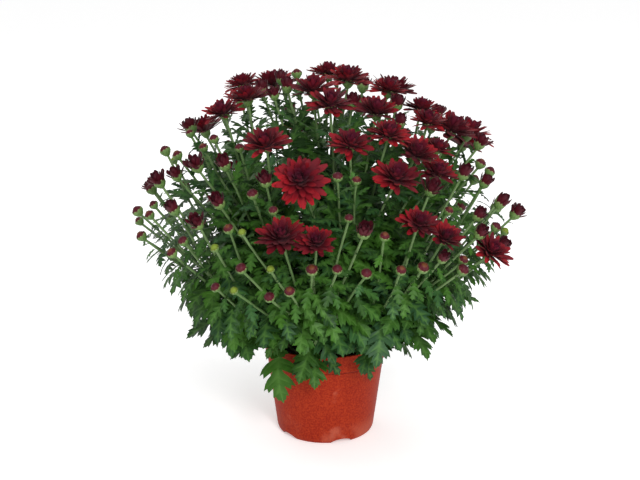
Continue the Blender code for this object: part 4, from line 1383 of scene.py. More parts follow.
@dataclass(frozen=True)
class CupFinish(Finish):
    """Green cup under a head: overlapping scales with a thin papery edge."""

    NAME = "cup_green"
    SHADER = {"Roughness": 0.55, "Specular IOR Level": 0.35}
    green: Colour = (0.060, 0.140, 0.030)
    light: Colour = (0.140, 0.230, 0.060)
    paper: Colour = (0.300, 0.260, 0.120)

    def wire(self, g: Graph) -> None:
        """Wires the nodes.

        Args:
            g: the material's graph.
        """
        along, across, tone = g.marks("along", "across", "tone")
        lines = g.streaks(across, along, 9.0, 2.0, tone)
        skin = g.mix((tone * 0.6 + lines * 0.4).clamped(), self.green, self.light)
        skin = g.mix(along.band(0.72, 1.0) * g.mark("rib") * 0.75, skin, self.paper)
        g.colour(skin)
        g.bump(lines, 0.0003, 0.6)


@dataclass(frozen=True)
class SoilFinish(Finish):
    """Moist peat: near black with brown crumbs and threads."""

    NAME = "peat_soil"
    SHADER = {"Specular IOR Level": 0.3}
    dark: Colour = (0.010, 0.008, 0.006)
    brown: Colour = (0.050, 0.030, 0.017)
    clods: float = 160.0
    grit: float = 900.0

    def wire(self, g: Graph) -> None:
        """Wires the nodes.

        Args:
            g: the material's graph.
        """
        clods, grit = g.noise(self.clods, 6.0), g.noise(self.grit, 3.0)
        g.colour(g.mix((clods * 0.7 + grit * 0.6 - 0.25).band(0.25, 0.75), self.dark, self.brown))
        g.roughness(0.75 + grit * 0.25)
        g.bump(clods * 0.7 + grit * 0.3, 0.0016)


@dataclass(frozen=True)
class PotFinish(Finish):
    """Thin moulded plastic, terracotta orange, satin with a fine grain, a paler bloom low down, pale spots of
    painted highlight all over and a painted shadow line under the rim band.
    """

    NAME = "terracotta_plastic"
    SHADER = {"Specular IOR Level": 0.07}
    orange: Colour = (0.345, 0.033, 0.009)
    deep: Colour = (0.225, 0.013, 0.005)
    # Pale colour of the bloom low down, also used for the painted highlight spots.
    bloom: Colour = (0.480, 0.130, 0.080)
    # Dark colour of a painted shadow line under the rim band's step.
    line: Colour = (0.130, 0.009, 0.004)
    grain: float = 520.0
    clouds: float = 30.0
    # Waves to the metre of the pale spots of painted highlight.
    smudges: float = 48.0
    # Lower and upper edges of the painted shadow line, in metres from the rim band's bottom.
    line_edges: Pairs = ((-0.0022, -0.0006), (-0.0002, 0.0006))

    def wire(self, g: Graph) -> None:
        """Wires the nodes.

        Args:
            g: the material's graph.
        """
        grain, cloud = g.noise(self.grain, 3.0), g.noise(self.clouds, 4.0)
        height = g.height()
        skin = g.mix((grain * 1.2 + cloud * 0.25).band(0.45, 1.0), self.deep, self.orange)
        low = 1.0 - height.band(0.003, 0.030)
        skin = g.mix(low * cloud.band(0.42, 0.72) * 0.45, skin, self.bloom)
        # Pale spots of painted highlight all over the pot.
        skin = g.mix(g.noise(self.smudges, 2.0).band(0.62, 0.76) * 0.35, skin, self.bloom)
        # Painted shadow: a dark line just under the rim band's step.
        under, over = ((RIM_BAND_BOTTOM + a, RIM_BAND_BOTTOM + b) for a, b in self.line_edges)
        line = height.band(*under) * (1.0 - height.band(*over))
        skin = g.mix(line * 0.85, skin, self.line)
        g.colour(skin)
        g.roughness(0.42 + grain * 0.2)
        g.bump(grain * 0.7 + cloud * 0.3, 0.00028, 0.9)


@dataclass(frozen=True)
class FloorFinish(Finish):
    """Plain pale floor."""

    NAME = "floor_pale"
    SHADER = {"Roughness": 0.9, "Specular IOR Level": 0.1}
    pale: Colour = (0.97, 0.97, 0.97)
    glow: float = 0.33

    def wire(self, g: Graph) -> None:
        """Wires the nodes.

        Args:
            g: the material's graph.
        """
        g.shader.inputs["Base Color"].default_value = (*self.pale, 1.0)
        g.shader.inputs["Emission Color"].default_value = (1.0, 1.0, 1.0, 1.0)
        g.shader.inputs["Emission Strength"].default_value = self.glow


# Modelling by hand, and copies


def free_hands() -> None:
    """Leaves nothing selected, so that the next operator acts on the new piece alone."""
    if bpy.context.mode != "OBJECT":
        bpy.ops.object.mode_set(mode="OBJECT")
    bpy.ops.object.select_all(action="DESELECT")


def pick(piece: Piece, test: Callable[[Vector], bool]) -> None:
    """Selects the points of the piece in edit mode that pass a test on their place.

    Args:
        piece: the object in edit mode.
        test: takes a point.
    """
    mesh = bmesh.from_edit_mesh(piece.data)
    mesh.select_mode = {"VERT"}
    for vertex in mesh.verts:
        vertex.select = bool(test(vertex.co))
    mesh.select_flush_mode()
    bmesh.update_edit_mesh(piece.data)


def raise_rings(rings: Pairs, radius: float, level: float) -> None:
    """Extrudes the selected ring or face up to each of several others.

    Args:
        rings: radius and height of each.
        radius: of what is selected.
        level: its height.
    """
    for wide, high in rings:
        bpy.ops.mesh.extrude_region_move(TRANSFORM_OT_translate={"value": (0.0, 0.0, high - level)})
        grow = wide / radius
        bpy.ops.transform.resize(value=(grow, grow, 1.0), center_override=(0.0, 0.0, high))
        radius, level = wide, high


def face_outwards() -> None:
    """Turns every face of the piece in edit mode outwards, and leaves edit mode."""
    bpy.ops.mesh.select_all(action="SELECT")
    bpy.ops.mesh.normals_make_consistent(inside=False)
    bpy.ops.object.mode_set(mode="OBJECT")


def set_in_place(piece: Piece) -> None:
    """Moves a piece's own placement into its mesh."""
    piece.data.transform(piece.matrix_world)
    piece.matrix_world = Matrix.Identity(4)


@dataclass
class Pattern:
    """A shape modelled once, read off as arrays, from which every copy gets its own mesh."""

    points: np.ndarray
    corners: np.ndarray
    sizes: np.ndarray
    chart: np.ndarray
    marks: dict[str, np.ndarray]

    @classmethod
    def read(cls, piece: Piece, marks: dict[str, Callable[[np.ndarray], np.ndarray]]) -> "Pattern":
        """Reads a modelled piece and removes it.

        Args:
            piece: the modelled object.
            marks: for each value carried by the mesh, what gives it from the points.

        Returns:
            The pattern.
        """
        mesh = piece.data
        points = np.empty(len(mesh.vertices) * 3)
        mesh.vertices.foreach_get("co", points)
        points = points.reshape(-1, 3)
        corners = np.empty(len(mesh.loops), np.int64)
        mesh.loops.foreach_get("vertex_index", corners)
        sizes = np.empty(len(mesh.polygons), np.int64)
        mesh.polygons.foreach_get("loop_total", sizes)
        chart = np.empty(len(mesh.loops) * 2)
        mesh.uv_layers.active.data.foreach_get("uv", chart)
        values = {key: np.asarray(rule(points), float) * np.ones(len(points)) for key, rule in marks.items()}
        bpy.data.objects.remove(piece)
        return cls(points, corners, sizes, chart.reshape(-1, 2), values)


def unfold(piece: Piece) -> None:
    """Lays the faces of a piece flat side by side on its own chart.

    Args:
        piece: the object.
    """
    free_hands()
    bpy.context.view_layer.objects.active = piece
    piece.select_set(True)
    bpy.ops.object.mode_set(mode="EDIT")
    bpy.ops.mesh.select_all(action="SELECT")
    bpy.ops.uv.smart_project(angle_limit=1.2, island_margin=0.01, scale_to_bounds=True)
    bpy.ops.object.mode_set(mode="OBJECT")


class Gathering:
    """Copies of patterns that become one piece, each on its own square of the piece's chart."""

    CELL = 0.96

    def __init__(self) -> None:
        """Starts empty."""
        self.copies: list[tuple[Pattern, np.ndarray, dict[str, float]]] = []

    def add(self, pattern: Pattern, points: np.ndarray, **marks: float) -> None:
        """Adds a copy.

        Args:
            pattern: what it is a copy of.
            points: its points in place.
            marks: values that are the same all over the copy.
        """
        self.copies.append((pattern, points, marks))

    def add_placed(self, pattern: Pattern, points: np.ndarray, place: Matrix, **marks: float) -> None:
        """Adds a copy whose points are still to be put in place by a 4 x 4 matrix."""
        self.add(pattern, to_world(points, place), **marks)

    def build(self, name: str, keys: tuple[str, ...], material: Material, angle: float) -> Piece:
        """Makes the piece.

        Args:
            name: of the object.
            keys: names of the values that the mesh carries.
            material: its finish.
            angle: degrees from which an edge stays sharp.

        Returns:
            The object.
        """
        side = math.ceil(math.sqrt(len(self.copies)))
        points, corners, sizes, chart = [], [], [], []
        carried: dict[str, list[np.ndarray]] = {key: [] for key in keys}
        first = 0
        for i, (pattern, placed, marks) in enumerate(self.copies):
            points.append(placed)
            corners.append(pattern.corners + first)
            sizes.append(pattern.sizes)
            chart.append((pattern.chart * self.CELL + (i % side, i // side)) / side)
            for key in keys:
                flat = np.full(len(placed), marks.get(key, 0.0))
                carried[key].append(flat if key in marks else pattern.marks.get(key, flat))
            first += len(placed)
        mesh = bpy.data.meshes.new(name)
        all_points, all_corners, all_sizes = (np.concatenate(part) for part in (points, corners, sizes))
        mesh.vertices.add(len(all_points))
        mesh.vertices.foreach_set("co", all_points.astype(np.float32).ravel())
        mesh.loops.add(len(all_corners))
        mesh.loops.foreach_set("vertex_index", all_corners.astype(np.int32))
        mesh.polygons.add(len(all_sizes))
        starts = np.concatenate(([0], np.cumsum(all_sizes)[:-1]))
        mesh.polygons.foreach_set("loop_start", starts.astype(np.int32))
        mesh.update(calc_edges=True)
        flat_chart = np.concatenate(chart).astype(np.float32).ravel()
        mesh.uv_layers.new(name="OFBake").data.foreach_set("uv", flat_chart)
        for key, parts in carried.items():
            values = np.concatenate(parts).astype(np.float32)
            mesh.attributes.new(key, "FLOAT", "POINT").data.foreach_set("value", values)
        mesh.validate()
        piece = bpy.data.objects.new(name, mesh)
        bpy.context.scene.collection.objects.link(piece)
        mesh.materials.append(material)
        smooth(piece, angle)
        return piece


def smooth(piece: Piece, angle: float) -> None:
    """Shades a piece smooth.

    Args:
        piece: the object.
        angle: degrees from which an edge stays sharp.
    """
    free_hands()
    piece.select_set(True)
    bpy.context.view_layer.objects.active = piece
    bpy.ops.object.shade_smooth_by_angle(angle=math.radians(angle))


def blade(name: str, columns: int, rows: int) -> Piece:
    """Starts a flat blade of one unit: X across from -0.5 to 0.5, Y along from 0 to 1, in edit mode.

    Args:
        name: of the object.
        columns: faces across.
        rows: faces along.

    Returns:
        The object, in edit mode.
    """
    free_hands()
    bpy.ops.mesh.primitive_grid_add(x_subdivisions=columns, y_subdivisions=rows, size=1.0)
    piece = bpy.context.object
    piece.name = name
    bpy.ops.object.mode_set(mode="EDIT")
    bpy.ops.mesh.select_all(action="SELECT")
    bpy.ops.transform.translate(value=(0.0, 0.5, 0.0))
    return piece


def line_rows(piece: Piece, widths: tuple[float, ...]) -> None:
    """Sets the width of each row of a blade, from root to tip.

    Args:
        piece: a blade in edit mode.
        widths: against the full width, one for each row of points.
    """
    step = 1.0 / (len(widths) - 1)
    for i, width in enumerate(widths):
        pick(piece, lambda co: abs(co.y - i * step) < step / 4)
        bpy.ops.transform.resize(value=(width, 1.0, 1.0), center_override=(0.0, i * step, 0.0))


def thicken(piece: Piece) -> None:
    """Gives a flat blade a second face one unit below, joined to the first along its border.

    Args:
        piece: a flat blade in edit mode.
    """
    flat = bmesh.from_edit_mesh(piece.data)
    inside = {tuple(round(c, 5) for c in v.co) for v in flat.verts if not v.is_boundary}
    bpy.ops.mesh.select_all(action="SELECT")
    bpy.ops.mesh.duplicate()
    bpy.ops.mesh.flip_normals()
    mesh = bmesh.from_edit_mesh(piece.data)
    for vertex in mesh.verts:
        vertex.select = vertex.select and tuple(round(c, 5) for c in vertex.co) in inside
    mesh.select_flush_mode()
    bmesh.update_edit_mesh(piece.data)
    bpy.ops.transform.translate(value=(0.0, 0.0, -1.0))
    bpy.ops.mesh.select_all(action="SELECT")
    bpy.ops.mesh.remove_doubles(threshold=1e-4)
    bpy.ops.object.mode_set(mode="OBJECT")


def side_mark(points: np.ndarray) -> np.ndarray:
    """1 on the upper face of a blade and 0 on the lower one."""
    return (points[:, 2] > -0.5).astype(float)


class Patterns:
    """Every shape that repeats, modelled once."""

    PETAL_WIDTHS = (0.34, 0.72, 0.98, 0.95, 0.48)
    POINTED_WIDTHS = (0.62, 0.92, 1.0, 0.84, 0.30)
    PETAL_TIP = ((0.0, -0.035), (-0.35, -0.060), (0.35, -0.060))
    INNER_SHARE = 0.55
    MIDRIB_WIDTH = 0.006
    VEIN_WIDTH = 0.007
    VEIN_END = 0.9
    VEIN_FADE = 0.5
    PLAIN_VEINS = 0.6
    MIDRIB_STEP = 0.004
    TUBE_RINGS = 13
    TUBE_SIDES = 7
    CUP_RINGS = ((0.24, -1.0), (0.52, -0.86), (0.80, -0.58), (0.95, -0.25), (0.97, 0.02), (0.70, 0.10))

    def __init__(self) -> None:
        """Models them."""
        self.petal = self.model_petal()
        self.scale = self.model_scale()
        self.leaf = self.model_leaf(LEAF_OUTLINE, LEAF_RIBS, (self.INNER_SHARE,), "Leaf")
        inner = (self.INNER_SHARE,)
        self.middle_leaf = self.model_leaf(MIDDLE_OUTLINE, MIDDLE_RIBS, inner, "Middle_leaf")
        self.plain_leaf = self.model_leaf(MIDDLE_OUTLINE, MIDDLE_RIBS, (), "Plain_leaf")
        self.small_leaf = self.model_leaf(SMALL_OUTLINE, SMALL_RIBS, (), "Small_leaf")
        self.tube = self.model_tube()
        self.cup = self.model_cup()
        self.heart = self.model_heart()
        self.crumb = self.model_crumb()

    def model_petal(self) -> Pattern:
        """Oblong petal: narrow at the root, widest past the middle, blunt and notched at the tip.

        Returns:
            The pattern.
        """
        piece = blade("Petal", 4, 4)
        line_rows(piece, self.PETAL_WIDTHS)
        wide = self.PETAL_WIDTHS[-1]
        for x, drop in self.PETAL_TIP:
            pick(piece, lambda co: co.y > 0.99 and abs(co.x - x * wide / 0.7) < 0.06)
            bpy.ops.transform.translate(value=(0.0, drop, 0.0))
        thicken(piece)
        unfold(piece)
        marks = {"along": lambda p: p[:, 1], "across": lambda p: p[:, 0] * 2, "side": side_mark}
        return Pattern.read(piece, marks)

    def model_scale(self) -> Pattern:
        """Short pointed scale of the green cup, which is also the shape of a bud's closed petals.

        Returns:
            The pattern.
        """
        piece = blade("Scale", 2, 4)
        line_rows(piece, self.POINTED_WIDTHS)
        thicken(piece)
        unfold(piece)
        marks = {
            "along": lambda p: p[:, 1],
            "across": lambda p: p[:, 0] * 2,
            "side": side_mark,
            "rib": lambda p: np.ones(len(p)),
        }
        return Pattern.read(piece, marks)

    def model_leaf(
        self, outline: Pairs, ribs: tuple[int, ...], shares: tuple[float, ...], name: str
    ) -> Pattern:
        """Lobed leaf laid on slanted lines from its midrib to its margin, in units of its length.

        Args:
            outline: across and along of each point of the right margin, from root to tip.
            ribs: which points of the margin a side vein runs to.
            shares: how far out on each line its inner points lie.
            name: of the piece while it is modelled.

        Returns:
            The pattern.
        """
        levels = (0.0, *shares, 1.0)
        count, columns = len(outline), 2 * (len(levels) - 1)
        piece = blade(name, columns, count - 1)
        mesh = bmesh.from_edit_mesh(piece.data)
        midrib = []
        for x, y in outline:
            low = midrib[-1] + self.MIDRIB_STEP if midrib else 0.0
            midrib.append(min(max(low, y - LEAF_SLANT * x), y))
        for vertex in mesh.verts:
            row = round(vertex.co.y * (count - 1))
            column = round((vertex.co.x + 0.5) * columns) - columns // 2
            share = levels[abs(column)]
            x, y = outline[row]
            side = math.copysign(1.0, column) if column else 0.0
            vertex.co.x = side * share * x
            vertex.co.y = midrib[row] + (y - midrib[row]) * share
        bmesh.update_edit_mesh(piece.data)
        thicken(piece)
        unfold(piece)
        vein_lines = [(outline[i], midrib[i]) for i in ribs]

        def rib_mark(points: np.ndarray) -> np.ndarray:
            """1 on the midrib and on the side veins, 0 between them, and weaker on a plain leaf.

            Args:
                points: of the flat leaf.

            Returns:
                A value for each.
            """
            near = np.exp(-((points[:, 0] / self.MIDRIB_WIDTH) ** 2))
            flat = np.abs(points[:, :2])
            for margin, root in vein_lines:
                a, b = np.array((0.0, root)), np.array(margin)
                t = np.clip(((flat - a) @ (b - a)) / ((b - a) @ (b - a)), 0, self.VEIN_END)
                off = np.linalg.norm(flat - a - t[:, None] * (b - a), axis=1)
                vein = np.exp(-((off / self.VEIN_WIDTH) ** 2)) * (1 - self.VEIN_FADE * t)
                near = np.maximum(near, vein)
            return near if shares else near * self.PLAIN_VEINS

        marks = {
            "along": lambda p: p[:, 1],
            "across": lambda p: np.abs(p[:, 0]),
            "side": side_mark,
            "rib": rib_mark,
        }
        return Pattern.read(piece, marks)

    def model_tube(self) -> Pattern:
        """Closed tube of one unit, extruded ring by ring.

        Returns:
            The pattern.
        """
        free_hands()
        bpy.ops.mesh.primitive_circle_add(vertices=self.TUBE_SIDES, radius=1.0, fill_type="NGON")
        piece = bpy.context.object
        bpy.ops.object.mode_set(mode="EDIT")
        step = 1.0 / (self.TUBE_RINGS - 1)
        for i in range(self.TUBE_RINGS - 1):
            pick(piece, lambda co: abs(co.z - i * step) < step / 4)
            bpy.ops.mesh.extrude_region_move(TRANSFORM_OT_translate={"value": (0.0, 0.0, step)})
        face_outwards()
        unfold(piece)
        marks = {
            "along": lambda p: p[:, 2],
            "across": lambda p: np.arctan2(p[:, 1], p[:, 0]) / math.pi,
        }
        return Pattern.read(piece, marks)

    def model_cup(self) -> Pattern:
        """Green cup of one unit of depth and radius, from the stalk's end up to under the petals.

        Returns:
            The pattern.
        """
        free_hands()
        wide, low = self.CUP_RINGS[0]
        bpy.ops.mesh.primitive_circle_add(vertices=12, radius=wide, fill_type="NGON", location=(0, 0, low))
        piece = bpy.context.object
        bpy.ops.object.mode_set(mode="EDIT")
        bpy.ops.mesh.select_all(action="SELECT")
        raise_rings(self.CUP_RINGS[1:], *self.CUP_RINGS[0])
        face_outwards()
        set_in_place(piece)
        unfold(piece)
        return Pattern.read(piece, {"along": lambda p: p[:, 2] * 0.3 + 0.3, "across": lambda p: p[:, 0]})

    def model_heart(self) -> Pattern:
        """Low dome of one unit that closes the middle of a head.

        Returns:
            The pattern.
        """
        free_hands()
        bpy.ops.mesh.primitive_ico_sphere_add(subdivisions=2, radius=1.0)
        piece = bpy.context.object
        bpy.ops.object.mode_set(mode="EDIT")
        pick(piece, lambda co: co.z < -0.1)
        bpy.ops.transform.resize(value=(1.0, 1.0, 0.2), center_override=(0.0, 0.0, -0.1))
        bpy.ops.object.mode_set(mode="OBJECT")
        unfold(piece)
        marks = {"along": lambda p: np.clip(p[:, 2], 0, 1), "side": lambda p: np.ones(len(p))}
        return Pattern.read(piece, marks)

    def model_crumb(self) -> Pattern:
        """Angular crumb of soil of one unit.

        Returns:
            The pattern.
        """
        free_hands()
        bpy.ops.mesh.primitive_ico_sphere_add(subdivisions=1, radius=1.0)
        piece = bpy.context.object
        bpy.ops.object.mode_set(mode="EDIT")
        pick(piece, lambda co: co.x > 0.3)
        bpy.ops.transform.resize(value=(0.8, 1.3, 0.7), center_override=(0.3, 0.0, 0.0))
        bpy.ops.object.mode_set(mode="OBJECT")
        unfold(piece)
        return Pattern.read(piece, {})


# Right margin of a leaf, across and along in units of its length, and the points that side veins run to
LEAF_OUTLINE = (
    (0.010, 0.000), (0.012, 0.090), (0.018, 0.180), (0.070, 0.200), (0.125, 0.235), (0.175, 0.300),
    (0.120, 0.305), (0.105, 0.345), (0.055, 0.335), (0.105, 0.370), (0.180, 0.410), (0.250, 0.470),
    (0.310, 0.560), (0.235, 0.545), (0.235, 0.615), (0.170, 0.585), (0.075, 0.535), (0.110, 0.590),
    (0.170, 0.640), (0.215, 0.700), (0.255, 0.790), (0.190, 0.765), (0.180, 0.825), (0.125, 0.790),
    (0.078, 0.755), (0.105, 0.815), (0.125, 0.905), (0.085, 0.890), (0.060, 0.950), (0.028, 0.955),
    (0.003, 1.000),
)
LEAF_RIBS = (5, 12, 20, 26)
MIDDLE_OUTLINE = (
    (0.012, 0.000), (0.016, 0.150), (0.110, 0.215), (0.185, 0.320), (0.060, 0.330), (0.170, 0.410),
    (0.290, 0.560), (0.170, 0.575), (0.072, 0.545), (0.160, 0.650), (0.235, 0.790), (0.125, 0.775),
    (0.080, 0.760), (0.115, 0.900), (0.045, 0.930), (0.003, 1.000),
)
MIDDLE_RIBS = (3, 6, 10, 13)
SMALL_OUTLINE = (
    (0.020, 0.000), (0.030, 0.140), (0.110, 0.300), (0.210, 0.470), (0.130, 0.500), (0.165, 0.640),
    (0.110, 0.760), (0.060, 0.900), (0.006, 1.000),
)
SMALL_RIBS = (3,)
LEAF_SLANT = 0.62


def to_world(points: np.ndarray, place: Matrix) -> np.ndarray:
    """Points put in place by a 4 x 4 matrix."""
    m = np.array(place)
    return points @ m[:3, :3].T + m[:3, 3]


# Bending of petals and leaves
LEAST_BEND = 1e-3
PETAL_BLADE = 0.00032
PETAL_CUP_START = 0.15
LEAF_BLADE = 0.00035
LEAF_WAVES = 17
LEAF_WAVE_LAG = 1.3
LEAF_EDGE_GAIN = 3
LEAF_FOLD_NARROWING = 0.3


@dataclass
class Petal:
    """How one petal of a head lies."""

    length: float
    width: float
    rise: float
    curl: float
    cup: float
    turn: float
    root: tuple[float, float]
    thickness: float = PETAL_BLADE
    twist: float = 0.0

    def points(self, pattern: Pattern, place: Matrix) -> np.ndarray:
        """Bends a flat petal to its shape and sets it on its head.

        Args:
            pattern: the flat petal.
            place: the head's place.

        Returns:
            The points in place.
        """
        x, y, z = pattern.points.T
        start, bend = math.radians(self.rise), math.radians(self.curl)
        bend = bend if abs(bend) > LEAST_BEND else LEAST_BEND
        angle = start - bend * y
        out = (math.sin(start) - np.sin(angle)) / bend * self.length
        up = (np.cos(angle) - math.cos(start)) / bend * self.length
        hollow = np.sin(math.pi * np.minimum(y + PETAL_CUP_START, 1))
        off = z * self.thickness + self.cup * self.width * (2 * x) ** 2 * hollow
        off = off + np.sin(math.radians(self.twist)) * x * self.width * y
        radial = self.root[0] + out - np.sin(angle) * off
        level = self.root[1] + up + np.cos(angle) * off
        flat = np.stack((radial, x * self.width, level), axis=1)
        return to_world(flat, place @ Matrix.Rotation(math.radians(self.turn), 4, "Z"))


@dataclass
class LeafForm:
    """Small differences between one leaf and the next."""

    fold: float
    sag: float
    wave: float
    phase: float
    sway: float
    widen: float


def leaf_points(pattern: Pattern, leaf: Leaf, shape: LeafForm, shift: Vector) -> np.ndarray:
    """Bends a flat leaf along its drooping midrib.

    Args:
        pattern: the flat leaf, in units of its length.
        leaf: where it grows.
        shape: fold, sag and waves.
        shift: moves its root onto the fine stalk.

    Returns:
        The points in place.
    """
    x, y, z = pattern.points.T
    spread = np.abs(x)
    total = math.radians(leaf.droop)
    total = total if abs(total) > LEAST_BEND else LEAST_BEND
    bent = total * y
    out = np.sin(bent) / total * leaf.length
    down = -(1 - np.cos(bent)) / total * leaf.length
    swing = np.sin(y * LEAF_WAVES + shape.phase + np.sign(x) * LEAF_WAVE_LAG)
    waves = shape.wave * swing * spread * LEAF_EDGE_GAIN
    height = shape.fold * spread - shape.sag * spread**2 * LEAF_EDGE_GAIN + waves
    off = height * leaf.length + z * LEAF_BLADE
    side = x * leaf.length * shape.widen * (1 - LEAF_FOLD_NARROWING * shape.fold)
    side = side + shape.sway * leaf.length * y**2
    flat = np.stack((side, out + np.sin(bent) * off, down + np.cos(bent) * off), axis=1)
    place = Matrix.Translation(leaf.root + shift) @ frame_of(leaf.along, leaf.facing).to_4x4()
    return to_world(flat, place)


def tube_points(pattern: Pattern, path: np.ndarray, radii: np.ndarray) -> np.ndarray:
    """Lays a straight tube along a path.

    Args:
        pattern: the tube of one unit.
        path: points along the middle.
        radii: at each point.

    Returns:
        The points in place.
    """
    x, y, z = pattern.points.T
    rings = np.linspace(0, 1, len(path))
    ahead = np.gradient(path, axis=0)
    ahead /= np.linalg.norm(ahead, axis=1, keepdims=True)
    side = np.cross(ahead, (0.0, 1.0, 0.0))
    side /= np.linalg.norm(side, axis=1, keepdims=True)
    other = np.cross(ahead, side)
    radius = np.interp(z, rings, radii)
    found = []
    for i in range(3):
        centre = np.interp(z, rings, path[:, i])
        sideways = np.interp(z, rings, side[:, i]) * y + np.interp(z, rings, other[:, i]) * x
        found.append(centre + sideways * radius)
    return np.stack(found, axis=1)


# Sub-assemblies


MARKS = ("along", "across", "tone", "depth", "side", "rib")


@dataclass
class Finishes:
    """Every finish, made once."""

    petal: Material = field(default_factory=PetalFinish().make)
    bud: Material = field(default_factory=BudFinish().make)
    leaf: Material = field(default_factory=LeafFinish().make)
    stalk: Material = field(default_factory=StalkFinish().make)
    cup: Material = field(default_factory=CupFinish().make)
    soil: Material = field(default_factory=SoilFinish().make)
    pot: Material = field(default_factory=PotFinish().make)


def settle(piece: Piece, slot: str, *nodes: str) -> Piece:
    """Lets a piece ride on the plant and stand for its nodes.

    Args:
        piece: the finished object.
        slot: name of a material slot; not used.
        nodes: the CAD nodes that it stands for.

    Returns:
        The piece.
    """
    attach(piece, "root")
    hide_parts(*nodes)
    return piece


def about(draw: random.Random, spread: float) -> float:
    """A draw between minus a spread and the spread."""
    return draw.uniform(-spread, spread)


@dataclass
class OpenBloom:
    """One open bloom, with its petals in a spiral from the spread outer ones to the upright heart."""

    head: Head
    number: int
    petals: int = 88
    fewer_petals: int = 10
    large_share: float = 1.03
    fuller: float = 1.28
    fullest: float = 1.5
    room_share: float = 0.62
    # Painted light on the petals: its level for large and other blooms, its gain on the lit side, and its
    # random spread.
    large_light: tuple[float, float] = (0.45, 0.60)
    light: tuple[float, float] = (0.12, 0.52)
    lit: float = 0.34
    uneven_light: float = 0.28
    outer_rise: float = 17.0
    outer_rises: tuple[float, float] = (-12, 8)
    flat_rise: float = 3.0
    heart_rise: float = 84.0
    rise_power: float = 1.45
    longest: float = 1.04
    shortest: float = 0.36
    length_power: float = 1.2
    lengths: tuple[float, float] = (0.82, 1.05)
    widest: float = 0.275
    narrowing: float = 0.42
    widths: tuple[float, float] = (0.85, 1.1)
    outer_curl: float = 12
    heart_curl: float = 38
    cups: tuple[float, float] = (0.02, 0.14)
    heart_cup: float = 0.22
    uneven_rise: float = 9
    uneven_curl: float = 14
    uneven_turn: float = 8
    twist: float = 32
    lifts: tuple[float, float] = (0.0008, 0.0006)
    sharp_from: float = 60

    def spread(self, others: list[Head]) -> float:
        """How far the outer petals reach: wider where the neighbouring blooms leave room.

        Args:
            others: every open bloom of the plant.

        Returns:
            The radius over the petals' tips.
        """
        radius = self.head.radius
        near = min((head.seat - self.head.seat).length for head in others if head is not self.head)
        return min(max(radius * self.fuller, near * self.room_share), radius * self.fullest)

    def build(self, patterns: Patterns, finish: Material, others: list[Head]) -> Piece:
        """Makes the bloom's piece.

        Args:
            patterns: the modelled shapes.
            finish: of the petals.
            others: every open bloom of the plant.

        Returns:
            The object.
        """
        draw = random.Random(BLOOM_SEED + self.number)
        large = self.head.radius > LARGE_BLOOM
        r, s = self.head.radius * self.large_share if large else self.spread(others), self.head.scale
        count = self.petals if large else self.petals - self.fewer_petals
        gathering = Gathering()
        # Painted light: how brightly this bloom is painted lit, and the side from which the painted light
        # falls.
        light = draw.uniform(*(self.large_light if large else self.light))
        lit_side = draw.uniform(0, math.tau)
        lowest = self.flat_rise if large else self.outer_rise + draw.uniform(*self.outer_rises)
        lift, core_lift = self.lifts
        for i in range(count):
            inward = i / (count - 1)
            rise = lowest + (self.heart_rise - lowest) * inward**self.rise_power
            reach = self.longest - (1 - self.shortest) * inward**self.length_power
            length = r * reach * draw.uniform(*self.lengths)
            curl = self.outer_curl * (1 - inward) - self.heart_curl * inward
            petal = Petal(
                length=length - CORE_RADIUS * s * 0.4 * (1 - inward),
                width=r * self.widest * (1.0 - self.narrowing * inward) * draw.uniform(*self.widths),
                rise=rise + about(draw, self.uneven_rise),
                curl=curl + about(draw, self.uneven_curl),
                cup=draw.uniform(*self.cups) + self.heart_cup * inward,
                turn=i * GOLDEN_TURN + about(draw, self.uneven_turn),
                root=(CORE_RADIUS * s * (0.75 - 0.60 * inward), lift + CORE_HEIGHT * s * 0.75 * inward),
                twist=about(draw, self.twist),
            )
            # Painted light: petals facing the lit side get a higher tone, which the petal finish paints
            # scarlet; the others stay in painted shade.
            facing = math.cos(i * math.radians(GOLDEN_TURN) - lit_side)
            tone = light + self.lit * facing + about(draw, self.uneven_light)
            tone = min(max(tone, 0.0), 1.0)
            points = petal.points(patterns.petal, self.head.matrix)
            gathering.add(patterns.petal, points, tone=tone, depth=inward)
        core = patterns.heart.points * (CORE_RADIUS * s, CORE_RADIUS * s, CORE_HEIGHT * s * 0.8)
        core = core + (0, 0, core_lift)
        gathering.add_placed(patterns.heart, core, self.head.matrix, tone=0.2, depth=1.0)
        piece = gathering.build(f"open_bloom_{self.number:02d}", MARKS, finish, self.sharp_from)
        return settle(piece, "petal", f"bloom_{self.number:02d}")


